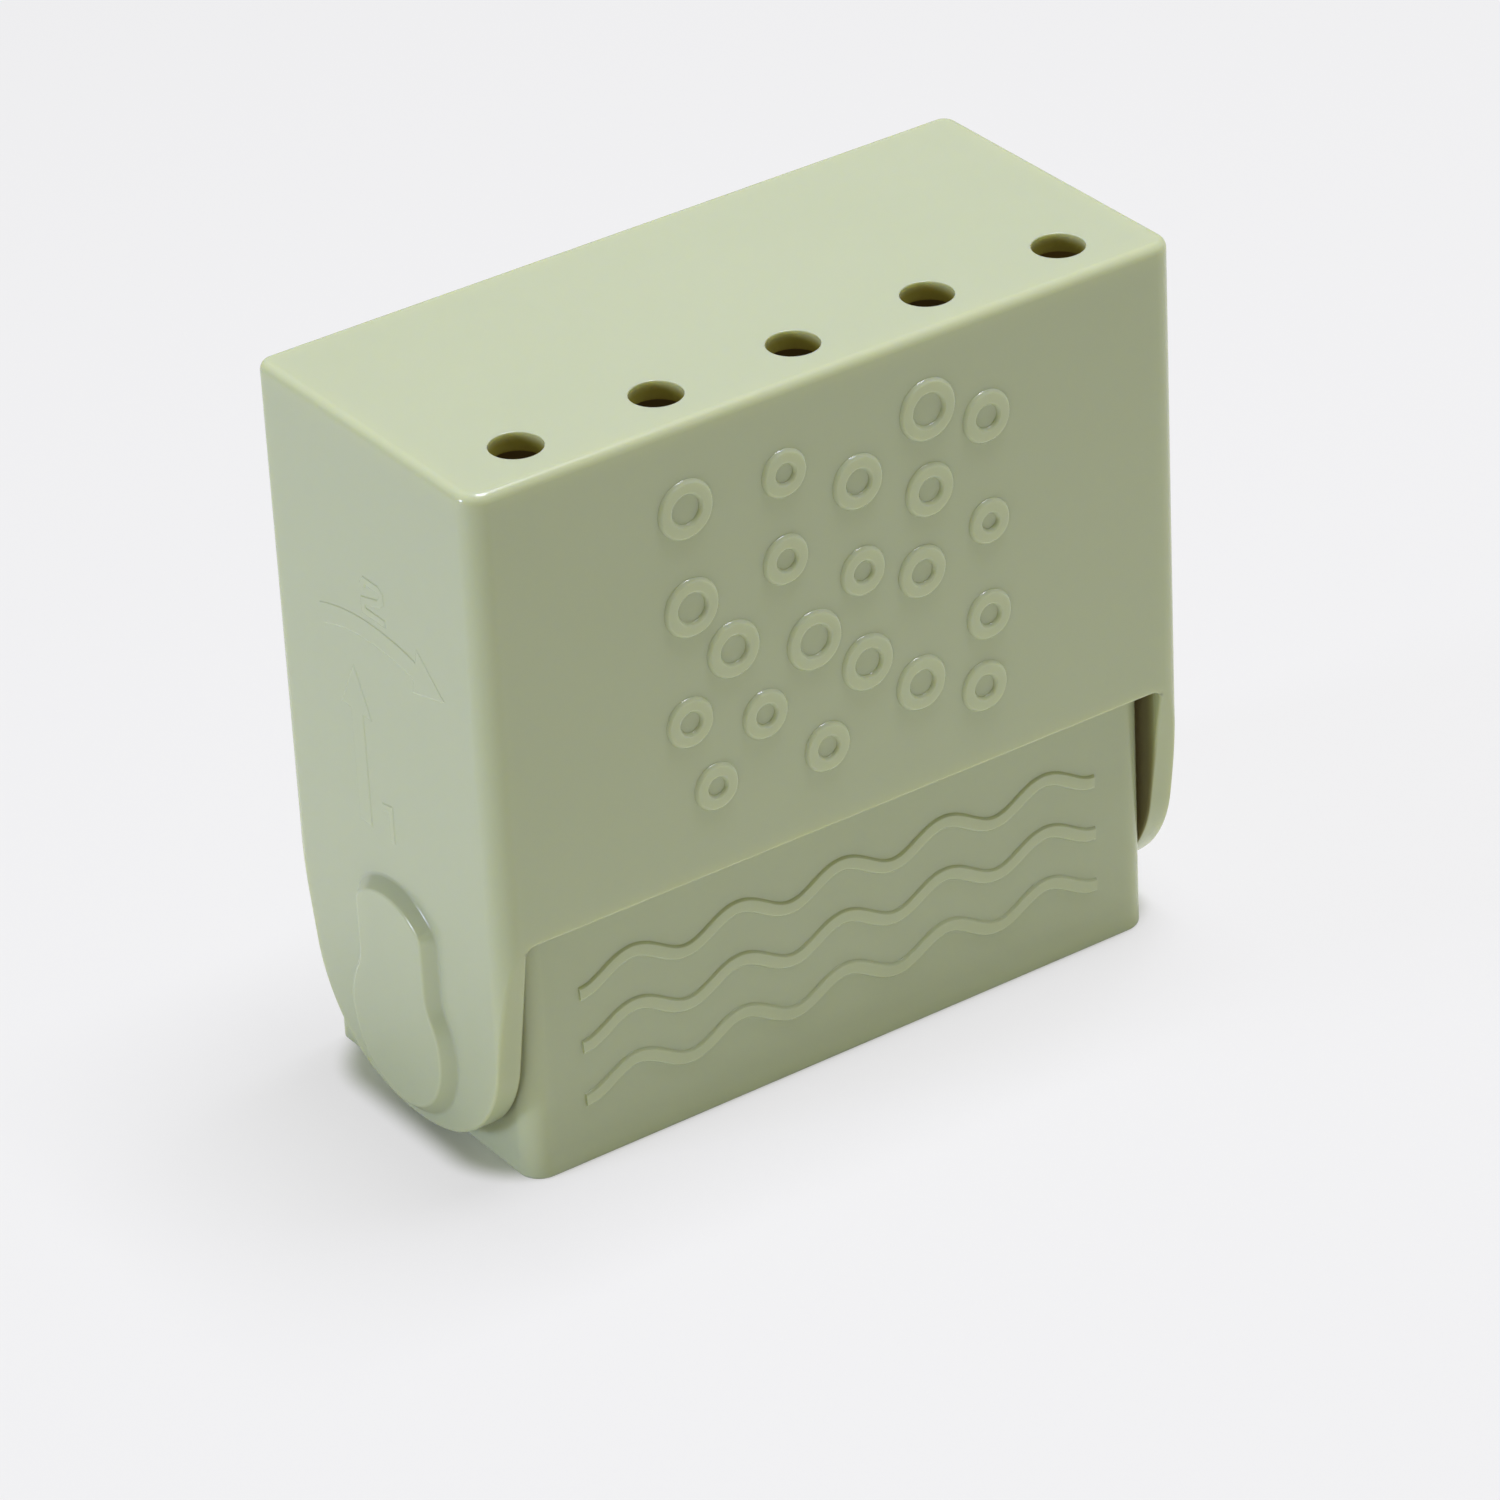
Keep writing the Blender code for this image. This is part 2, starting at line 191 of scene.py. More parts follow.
@dataclass(frozen=True)
class Measures:
    """Sizes that the two mouldings share, from the frame where it gives them."""

    boss_rise: float = 0.0016
    boss_wall: float = 0.0024
    ear_thickness: float = 0.0035
    face_wall: float = 0.0025
    roof_thickness: float = 0.0025
    face_edge_z: float = 0.0346
    ear_taper_drop: float = 0.0004
    side_gap: float = 0.0004
    seat_gap: float = 0.0003
    pin_radius: float = 0.0083
    pin_flat_half: float = 0.0057
    pocket_z: float = 0.0141
    hole_count: int = 5
    hole_pitch: float = 0.0192
    hole_setback: float = 0.00775
    high: Vector = field(default_factory=lambda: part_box("outer_cover")[1])
    tray_low: Vector = field(default_factory=lambda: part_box("inner_tray")[0])
    tray_high: Vector = field(default_factory=lambda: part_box("inner_tray")[1])
    lift: float = field(default_factory=lambda: frame["joints"][0]["range_m"][1])

    @property
    def half_width(self) -> float:
        """Half the cover's width over its flat side faces."""
        return self.high.x - self.boss_rise

    @property
    def half_depth(self) -> float:
        """Half the cover's depth."""
        return self.high.y

    @property
    def ear_inner_x(self) -> float:
        """Where the inner faces of the ears lie."""
        return self.half_width - self.ear_thickness

    @property
    def face_inner_y(self) -> float:
        """Where the inner faces of the front and back walls lie."""
        return self.half_depth - self.face_wall

    @property
    def ceiling_z(self) -> float:
        """Height of the roof's underside."""
        return self.high.z - self.roof_thickness

    @property
    def track_floor_x(self) -> float:
        """Where the closed end of the keyhole track lies."""
        return self.high.x - self.boss_wall

    @property
    def track_gap(self) -> float:
        """Play between a pin and its track."""
        return self.track_floor_x - self.tray_high.x

    @property
    def pin_z(self) -> float:
        """Height of the pins' axis."""
        return self.pocket_z + self.lift

    @property
    def ear_outline(self) -> EarOutline:
        """Side view of the ears."""
        return EarOutline(self.half_depth, self.face_edge_z - self.ear_taper_drop)

    def keyhole(self, grown: float, **bends: float) -> "Keyhole":
        """Returns the pin's keyhole, grown all round."""
        return Keyhole(self.pin_radius + grown, self.pin_flat_half + grown, self.pocket_z,
                       self.pin_z, **bends)


def arc(centre: Point, radius: float, start: float, end: float, steps: int) -> list[Point]:
    """Points along an arc.

    Args:
        centre: Middle of the arc.
        radius: Its radius.
        start: First angle, in radians.
        end: Last angle, in radians.
        steps: Number of stretches between the points.

    Returns:
        steps + 1 points, both ends included.
    """
    angles = (start + (end - start) * index / steps for index in range(steps + 1))
    return [(centre[0] + radius * math.cos(angle), centre[1] + radius * math.sin(angle))
            for angle in angles]


def without_repeats(points: Sequence[Point]) -> list[Point]:
    """Takes out neighbouring points that coincide.

    Args:
        points: A closed outline.

    Returns:
        The outline without them.
    """
    kept: list[Point] = []
    for point in points:
        if not kept or math.dist(point, kept[-1]) > FLAT:
            kept.append(point)
    if math.dist(kept[0], kept[-1]) < FLAT:
        kept.pop()
    return kept


def add_to_scene(name: str, data: bpy.types.ID) -> Piece:
    """Puts data in the scene.

    Args:
        name: Name of the object.
        data: Its data.

    Returns:
        A new object at the origin.
    """
    item = bpy.data.objects.new(name, data)
    bpy.context.scene.collection.objects.link(item)
    return item


def mesh_object(name: str, bm: Form) -> Piece:
    """Makes an object of a bmesh.

    Args:
        name: Name of the object.
        bm: Its mesh, which is freed.

    Returns:
        The new object.
    """
    mesh = bpy.data.meshes.new(name)
    bm.to_mesh(mesh)
    bm.free()
    return add_to_scene(name, mesh)


def bmesh_of(item: Piece) -> Form:
    """Copies an object's mesh for editing.

    Args:
        item: The object.

    Returns:
        A bmesh with its mesh.
    """
    bm = bmesh.new()
    bm.from_mesh(item.data)
    return bm


def put_back(bm: Form, item: Piece) -> None:
    """Writes a bmesh to an object.

    Args:
        bm: The mesh, which is freed.
        item: The object.
    """
    bm.to_mesh(item.data)
    bm.free()
    item.data.update()


def discard(item: Piece) -> None:
    """Removes a tool object and its data.

    Args:
        item: The tool.
    """
    data = item.data
    bpy.data.objects.remove(item, do_unlink=True)
    if data.users == 0:
        bpy.data.batch_remove([data])


def settle(item: Piece) -> Piece:
    """Turns an object's modifiers into its own plain mesh.

    Args:
        item: The object.

    Returns:
        The same object.
    """
    bpy.context.view_layer.update()
    depsgraph = bpy.context.evaluated_depsgraph_get()
    mesh = bpy.data.meshes.new_from_object(item.evaluated_get(depsgraph), depsgraph=depsgraph)
    old = item.data
    item.modifiers.clear()
    item.data = mesh
    if old.users == 0:
        bpy.data.meshes.remove(old)
    return item


def block(low: Sequence[float], high: Sequence[float]) -> Form:
    """A box to be rounded further.

    Args:
        low: Its low corner.
        high: Its high corner.

    Returns:
        The closed bmesh.
    """
    low_corner, high_corner = Vector(low), Vector(high)
    bm = bmesh.new()
    size = high_corner - low_corner
    place = Matrix.Translation((low_corner + high_corner) / 2) @ Matrix.Diagonal((*size, 1))
    bmesh.ops.create_cube(bm, size=1, matrix=place)
    return bm


def round_edges(bm: Form, chosen: EdgeTest, radius: float, steps: int, clamp: bool = True) -> int:
    """Rounds the edges that pass a test.

    Args:
        bm: The mesh.
        chosen: Test on each edge.
        radius: Radius of the rounding.
        steps: Facets across it.
        clamp: Whether neighbouring roundings are kept from running into each other.

    Returns:
        How many edges were rounded.
    """
    edges = [edge for edge in bm.edges if chosen(edge)]
    bmesh.ops.bevel(bm, geom=edges, offset=radius, offset_type='OFFSET', segments=steps,
                    profile=0.5, affect='EDGES', clamp_overlap=clamp)
    return len(edges)


def is_upright(edge: Edge) -> bool:
    """Returns whether an edge runs along Z."""
    low, high = edge.verts[0].co, edge.verts[1].co
    return abs(low.x - high.x) < FLAT and abs(low.y - high.y) < FLAT


def lies_level(edge: Edge, height: float) -> bool:
    """Returns whether an edge is a corner of the mesh at one height."""
    level = all(abs(vert.co.z - height) < FLAT for vert in edge.verts)
    return level and edge.calc_face_angle(0) > CORNER_ANGLE


def is_lip(edge: Edge) -> bool:
    """Returns whether an edge is a sharp outward corner."""
    return len(edge.link_faces) == 2 and edge.is_convex and edge.calc_face_angle(0) > LIP_ANGLE


def loft(name: str, rings: Iterable[Iterable[Place]]) -> Piece:
    """A closed piece whose skin runs from ring to ring.

    Args:
        name: Name of the piece.
        rings: Rings with the same number of points.

    Returns:
        The piece, closed by its first and last ring.
    """
    bm = bmesh.new()
    rows = [[bm.verts.new(spot) for spot in ring] for ring in rings]
    for first, second in zip(rows, rows[1:]):
        for index in range(len(first)):
            following = (index + 1) % len(first)
            bm.faces.new((first[index], first[following], second[following], second[index]))
    bm.faces.new(rows[0])
    bm.faces.new(list(reversed(rows[-1])))
    bmesh.ops.recalc_face_normals(bm, faces=bm.faces)
    return mesh_object(name, bm)


def side_plate(name: str, outline: Sequence[Point], near_x: float, far_x: float) -> Piece:
    """Returns a closed plate with an outline in the side view, between two places along X."""
    return loft(name, [[(x, y, z) for y, z in outline] for x in (near_x, far_x)])


def volume(item: Piece) -> float:
    """Measures an object's closed mesh.

    Args:
        item: The object.

    Returns:
        The volume that it holds.
    """
    bm = bmesh_of(item)
    held = bm.calc_volume()
    bm.free()
    return held


def combine(target: Piece, other: Piece, how: Join) -> None:
    """Joins another closed mesh to the target, or cuts it out, and discards it.

    Args:
        target: The piece that is changed.
        other: The other piece.
        how: Whether it is added or cut out.

    Raises:
        RuntimeError: If the target gets smaller by a join or bigger by a cut.
    """
    before = volume(target)
    modifier = target.modifiers.new(other.name, 'BOOLEAN')
    modifier.object = other
    modifier.operation = how.value
    modifier.solver = 'EXACT'
    settle(target)
    gain = volume(target) - before
    if gain < 0 if how is Join.ADD else gain > 0:
        raise RuntimeError(f"{other.name} could not be combined with {target.name}")
    discard(other)


def join_shells(name: str, parts: Sequence[Piece]) -> Piece:
    """Puts several closed shells in one object.

    Args:
        name: Name of the object.
        parts: The shells' objects, which are discarded.

    Returns:
        The new object.
    """
    bm = bmesh.new()
    for part in parts:
        bm.from_mesh(part.data)
        discard(part)
    return mesh_object(name, bm)


def clean_flats(item: Piece) -> Form:
    """Makes each flat face of an object one face again.

    Args:
        item: The object.

    Returns:
        A bmesh with the cleaned mesh.
    """
    bm = bmesh_of(item)
    bmesh.ops.remove_doubles(bm, verts=bm.verts, dist=FLAT)
    bmesh.ops.dissolve_limit(bm, angle_limit=STRAIGHT_ANGLE, use_dissolve_boundaries=False,
                             verts=bm.verts, edges=bm.edges)
    bmesh.ops.recalc_face_normals(bm, faces=bm.faces)
    return bm


def shade(item: Piece, is_crisp: EdgeTest | None = None) -> None:
    """Smooth shading in which the flat faces stay flat and real corners stay sharp.

    Args:
        item: The piece.
        is_crisp: Picks the faint edges that stay sharp as well.
    """
    item.data.shade_smooth()
    item.data.set_sharp_from_angle(angle=SHARP_ANGLE)
    if is_crisp:
        bm = bmesh_of(item)
        for edge in filter(is_crisp, bm.edges):
            edge.smooth = False
        put_back(bm, item)
    modifier = item.modifiers.new("even_shading", 'WEIGHTED_NORMAL')
    modifier.keep_sharp = True
    settle(item)


class Graph:
    """A node tree, with short ways to add to it.

    Attributes:
        tree: The tree.
        given: What a group takes, by name.
        out: What a group gives, by name.
    """

    def __init__(self, tree: Tree) -> None:
        """Takes up a tree that exists.

        Args:
            tree: The tree.
        """
        self.tree = tree
        self.given: dict[str, Socket] = {}
        self.out: dict[str, Socket] = {}

    @classmethod
    def group(cls, name: str, kind: str, takes: dict[str, object],
              gives: dict[str, Kind]) -> "Graph":
        """A node group with its sockets.

        Args:
            name: Name of the group.
            kind: Shader or geometry tree type.
            takes: Its inputs, as a plain default or, for those without one, a Kind.
            gives: Its outputs.

        Returns:
            The group, with its inputs in given and its outputs in out.
        """
        tree = bpy.data.node_groups.new(name, kind)
        for label, value in takes.items():
            made = tree.interface.new_socket(name=label, in_out='INPUT',
                                             socket_type=cls.kind_of(value).value)
            if not isinstance(value, Kind):
                made.default_value = value
        for label, result in gives.items():
            tree.interface.new_socket(name=label, in_out='OUTPUT', socket_type=result.value)
        graph = cls(tree)
        start, end = tree.nodes.new('NodeGroupInput'), tree.nodes.new('NodeGroupOutput')
        graph.given = {label: start.outputs[label] for label in takes}
        graph.out = {label: end.inputs[label] for label in gives}
        return graph

    @staticmethod
    def kind_of(value: object) -> Kind:
        """The kind of socket that holds a value.

        Args:
            value: A plain value, or the kind itself.

        Returns:
            The kind.
        """
        if isinstance(value, Kind):
            return value
        if isinstance(value, tuple):
            return Kind.COLOUR if len(value) == 4 else Kind.PLACE
        return Kind.WHOLE if isinstance(value, int) else Kind.NUMBER

    def feed(self, place: Socket, value: object) -> None:
        """Gives a socket its value.

        Args:
            place: The input socket.
            value: A socket to link, or a plain value.
        """
        if isinstance(value, Socket):
            self.tree.links.new(value, place)
        else:
            place.default_value = value

    def fill(self, made: Node, **values: object) -> Node:
        """Sets some of a node's properties and inputs.

        Args:
            made: The node.
            **values: Properties by name, then inputs by name with spaces as underscores, as
                plain values or as sockets to link.

        Returns:
            The node.
        """
        for name, value in values.items():
            if hasattr(made, name):
                setattr(made, name, value)
            else:
                self.feed(made.inputs[name.replace("_", " ")], value)
        return made

    def add(self, kind: str, **values: object) -> Node:
        """Returns a new node of Blender's type of that name, filled with the values."""
        return self.fill(self.tree.nodes.new(kind), **values)

    def add_in_turn(self, kind: str, places: slice, *terms: object, **values: object) -> Node:
        """A new node whose inputs are filled by their order.

        Args:
            kind: Blender's name for its type.
            places: Which of its inputs take the terms.
            *terms: Plain values or sockets to link.
            **values: Properties and other inputs, as fill takes them.

        Returns:
            The node.
        """
        made = self.add(kind, **values)
        for place, term in zip(made.inputs[places], terms):
            self.feed(place, term)
        return made

    def calc(self, operation: str, *terms: object) -> Socket:
        """Returns the result of one Math node."""
        return self.add_in_turn('ShaderNodeMath', slice(3), *terms, operation=operation).outputs[0]

    def plus(self, first: object, second: object) -> Socket:
        """Returns the sum of two numbers."""
        return self.calc('ADD', first, second)

    def minus(self, first: object, second: object) -> Socket:
        """Returns the first number less the second."""
        return self.calc('SUBTRACT', first, second)

    def times(self, first: object, second: object) -> Socket:
        """Returns the product of two numbers."""
        return self.calc('MULTIPLY', first, second)

    def least(self, first: object, second: object, third: object) -> Socket:
        """Returns the least of three numbers."""
        return self.calc('MINIMUM', self.calc('MINIMUM', first, second), third)

    def vector(self, **axes: object) -> Socket:
        """Returns a vector with the axes that are given, and zero for the others."""
        return self.add('ShaderNodeCombineXYZ', **axes).outputs[0]

    def axes(self, vector: Socket) -> list[Socket]:
        """Returns a vector's X, Y and Z."""
        return list(self.add('ShaderNodeSeparateXYZ', Vector=vector).outputs)

    def spot(self) -> Socket:
        """Returns the place on the piece, in object coordinates."""
        return self.add('ShaderNodeTexCoord').outputs["Object"]

    def noise(self, **values: object) -> Socket:
        """Returns the value of a noise texture on object coordinates."""
        return self.add('ShaderNodeTexNoise', Vector=self.spot(), **values).outputs["Fac"]

    def ramp(self, value: Socket, start: object, end: object, low: float = 0.0,
             high: float = 1.0, smooth: bool = True) -> Socket:
        """A value led from one range to another and held at its ends.

        Args:
            value: The value.
            start: Where the ramp starts.
            end: Where it ends.
            low: Result at the start.
            high: Result at the end.
            smooth: Whether it eases in and out.

        Returns:
            The result.
        """
        kind = 'SMOOTHSTEP' if smooth else 'LINEAR'
        return self.add('ShaderNodeMapRange', interpolation_type=kind, Value=value, From_Min=start,
                        From_Max=end, To_Min=low, To_Max=high).outputs["Result"]

    def blend(self, share: Socket, first: object, second: object) -> Socket:
        """Mixes two colours.

        Args:
            share: How much of the second there is.
            first: First colour.
            second: Second colour.

        Returns:
            The mix.
        """
        return self.add_in_turn('ShaderNodeMix', slice(6, 8), first, second, data_type='RGBA',
                                Factor=share).outputs[2]

    def camera_sees(self, share: object, plain: Node, shown: Node, end: Node) -> None:
        """Ends a material or a world that looks otherwise to the camera than it lights.

        Args:
            share: How much of the other look the camera gets.
            plain: Shader that all other rays meet.
            shown: Shader of the other look.
            end: The output node.
        """
        rays = self.add('ShaderNodeLightPath').outputs["Is Camera Ray"]
        mix = self.add_in_turn('ShaderNodeMixShader', slice(3), self.times(rays, share),
                               plain.outputs[0], shown.outputs[0])
        self.feed(end.inputs["Surface"], mix.outputs[0])

    def centred_row(self, shape: Socket, count: Socket, pitch: Socket, axis: str) -> Socket:
        """A shape repeated in an even row, centred on where it is.

        Args:
            shape: The shape.
            count: How many times.
            pitch: Distance from one to the next.
            axis: Letter of the axis that the row runs along.

        Returns:
            The instances.
        """
        start = self.times(self.times(self.minus(count, 1.0), pitch), -0.5)
        line = self.add('GeometryNodeMeshLine', Count=count, Offset=self.vector(**{axis: pitch}),
                        Start_Location=self.vector(**{axis: start}))
        return self.add('GeometryNodeInstanceOnPoints', Points=line.outputs[0],
                        Instance=shape).outputs[0]

    def realized(self, shape: Socket) -> Socket:
        """Returns a shape with its instances made real."""
        return self.add('GeometryNodeRealizeInstances', Geometry=shape).outputs[0]

    def dressed(self, shape: Socket) -> Tree:
        """Ends a geometry tree in Realize Instances and Set Material.

        Args:
            shape: What the tree makes.

        Returns:
            The tree.
        """
        finish = self.add('GeometryNodeSetMaterial', Geometry=self.realized(shape),
                          Material=self.given["Finish"])
        self.feed(self.out["Shape"], finish.outputs[0])
        return self.tree


def run_tree(item: Piece, tree: Tree, values: dict[str, object]) -> Piece:
    """Runs a geometry tree on an object and keeps the result as its plain mesh.

    Args:
        item: The object.
        tree: The geometry tree.
        values: The tree's inputs by name.

    Returns:
        The object, without the modifier.
    """
    modifier = item.modifiers.new(tree.name, 'NODES')
    modifier.node_group = tree
    for socket in tree.interface.items_tree:
        if socket.in_out == 'INPUT' and socket.name in values:
            modifier[socket.identifier] = values[socket.name]
    return settle(item)


def even_row_tree() -> Tree:
    """Geometry tree that repeats a shape in an even row along X.

    Returns:
        The tree.
    """
    graph = Graph.group("even_row", 'GeometryNodeTree', {
        "Shape": Kind.SHAPE, "Count": 5, "Pitch": 0.02, "Finish": Kind.FINISH},
        {"Shape": Kind.SHAPE})
    given = graph.given
    return graph.dressed(graph.centred_row(given["Shape"], given["Count"], given["Pitch"], "X"))


@dataclass(frozen=True)
class Relief:
    """Raised lines on a face that looks along -Y: low bars with sloped sides and soft tops."""

    fillet_share: float = 0.3
    fillet_steps: int = 3
    ring_steps: int = 44
    wave_steps: int = 150
    most_rings: float = 600000.0

    def group(self, name: str, takes: dict[str, object]) -> Graph:
        """The start of a relief's geometry tree.

        Args:
            name: Name of the tree.
            takes: The inputs that it has beside the shared ones.

        Returns:
            The tree with its sockets.
        """
        shared = {"Stroke": 0.0019, "Rise": 0.00045, "Sink": 0.0002, "Place": (0.0, 0.0, 0.0),
                  "Finish": Kind.FINISH}
        return Graph.group(name, 'GeometryNodeTree', {**takes, **shared}, {"Shape": Kind.SHAPE})

    def ended(self, graph: Graph, lines: Socket) -> Tree:
        """Sweeps the bar along flat curves and stands the result up.

        Args:
            graph: The relief's tree.
            lines: The curves in the XY plane, or instances of them.

        Returns:
            The tree. It makes closed bars that are sunk into the plane through Place.
        """
        stroke, sink = graph.given["Stroke"], graph.given["Sink"]
        height = graph.plus(graph.given["Rise"], sink)
        bar = graph.add('GeometryNodeCurvePrimitiveQuadrilateral', mode='TRAPEZOID', Offset=0.0,
                        Bottom_Width=graph.minus(stroke, height),
                        Top_Width=graph.plus(stroke, height), Height=height)
        soft = graph.add('GeometryNodeFilletCurve', mode='POLY', Count=self.fillet_steps,
                         Curve=bar.outputs[0], Radius=graph.times(height, self.fillet_share))
        lift = graph.vector(Y=graph.minus(sink, graph.times(height, 0.5)))
        placed = graph.add('GeometryNodeTransform', Geometry=soft.outputs[0], Translation=lift)
        level = graph.add('GeometryNodeSetCurveNormal', mode='Z_UP', Curve=graph.realized(lines))
        sweep = graph.add('GeometryNodeCurveToMesh', Fill_Caps=True, Curve=level.outputs[0],
                          Profile_Curve=placed.outputs[0])
        turned = graph.add('GeometryNodeTransform', Geometry=sweep.outputs[0],
                           Rotation=(math.pi / 2, 0, 0), Translation=graph.given["Place"])
        return graph.dressed(turned.outputs[0])

    def bubble_tree(self) -> Tree:
        """Geometry tree that spreads raised rings of mixed sizes over a flat patch.

        Returns:
            The tree.
        """
        graph = self.group("bubble_relief", {"Shape": Kind.SHAPE, "Spacing": 0.008, "Seed": 1,
                                             "Smallest": 0.001, "Largest": 0.003})
        given = graph.given
        scatter = graph.add('GeometryNodeDistributePointsOnFaces', distribute_method='POISSON',
                            Mesh=given["Shape"], Distance_Min=given["Spacing"],
                            Density_Max=self.most_rings, Seed=given["Seed"])
        ring = graph.add('GeometryNodeCurvePrimitiveCircle', Resolution=self.ring_steps,
                         Radius=1.0)
        size = graph.add_in_turn('FunctionNodeRandomValue', slice(2, 4), given["Smallest"],
                                 given["Largest"], data_type='FLOAT', Seed=given["Seed"])
        rings = graph.add('GeometryNodeInstanceOnPoints', Points=scatter.outputs["Points"],
                          Instance=ring.outputs[0], Scale=size.outputs[1])
        return self.ended(graph, rings.outputs[0])

    def wave_tree(self) -> Tree:
        """Geometry tree that lays raised wavy lines above each other.

        Returns:
            The tree.
        """
        graph = self.group("wave_relief", {"Length": 0.07, "Rows": 3, "Pitch": 0.006,
                                           "Wave": 0.012, "Swing": 0.0015})
        given = graph.given
        start, end = (graph.vector(X=graph.times(given["Length"], share)) for share in (-0.5, 0.5))
        line = graph.add('GeometryNodeCurvePrimitiveLine', Start=start, End=end)
        fine = graph.add('GeometryNodeResampleCurve', Count=self.wave_steps, Curve=line.outputs[0])
        along = graph.axes(graph.add('GeometryNodeInputPosition').outputs[0])[0]
        turn = graph.times(graph.calc('DIVIDE', along, given["Wave"]), 2 * math.pi)
        swing = graph.vector(Y=graph.times(graph.calc('COSINE', turn), given["Swing"]))
        wavy = graph.add('GeometryNodeSetPosition', Geometry=fine.outputs[0], Offset=swing)
        rows = graph.centred_row(wavy.outputs[0], given["Rows"], given["Pitch"], "Y")
        return self.ended(graph, rows)


@dataclass(frozen=True)
class Keyhole:
    """Keyhole outline in the side view: a round pocket below an arched slot."""

    radius: float
    half_width: float
    pocket_z: float
    end_z: float
    corner: float = 0.0
    shoulder: float = 0.0
    pocket_steps: int = 56
    bend_steps: int = 12
    end_steps: int = 16

    def outline(self, inset: float = 0.0) -> list[Point]:
        """The closed outline, drawn in by an even distance.

        Args:
            inset: Distance from the nominal outline, positive inwards.

        Returns:
            Always the same number of (y, z) points while the radii are over zero.
        """
        radius = self.radius - inset
        half_width = self.half_width - inset
        corner = max(self.corner - inset, 0.0)
        shoulder = self.shoulder + inset if self.shoulder else 0.0
        end_rise = math.sqrt((radius - corner) ** 2 - (half_width - corner) ** 2)
        corner_angle = math.atan2(end_rise, half_width - corner)
        shoulder_rise = math.sqrt((radius + shoulder) ** 2 - (half_width + shoulder) ** 2)
        shoulder_angle = math.atan2(shoulder_rise, half_width + shoulder)

        right = arc((0, self.pocket_z), radius, -math.pi / 2, shoulder_angle, self.pocket_steps)
        if shoulder:
            centre = (half_width + shoulder, self.pocket_z + shoulder_rise)
            right += arc(centre, shoulder, shoulder_angle + math.pi, math.pi, self.bend_steps)
        if corner:
            centre = (half_width - corner, self.end_z + end_rise)
            right += arc(centre, corner, 0, corner_angle, self.bend_steps)
        right += arc((0, self.end_z), radius, corner_angle, math.pi / 2, self.end_steps)
        return without_repeats(right + [(-y, z) for y, z in reversed(right)])


@dataclass(frozen=True)
class SlopedEdge:
    """Cross-section of a raised edge: hollow foot, straight slope, round top."""

    rise: float
    foot_radius: float = 0.0007
    top_radius: float = 0.0007
    slope: float = math.radians(46)
    steps: int = 6
    sunk: float = 0.00003

    def profile(self) -> list[Point]:
        """The cross-section.

        Returns:
            (inset, height) points from the foot up, the slope's foot at inset 0.
        """
        foot_reach = self.foot_radius * math.tan(self.slope / 2)
        foot = arc((-foot_reach, self.foot_radius), self.foot_radius, -math.pi / 2,
                   -math.pi / 2 + self.slope, self.steps)
        straight = self.rise - (self.foot_radius + self.top_radius) * (1 - math.cos(self.slope))
        top_start = (foot[-1][0] + straight / math.tan(self.slope), foot[-1][1] + straight)
        centre = (top_start[0] + self.top_radius * math.sin(self.slope),
                  self.rise - self.top_radius)
        top = arc(centre, self.top_radius, math.pi / 2 + self.slope, math.pi / 2, self.steps)
        return [(foot[0][0], -self.sunk)] + foot[1:] + top


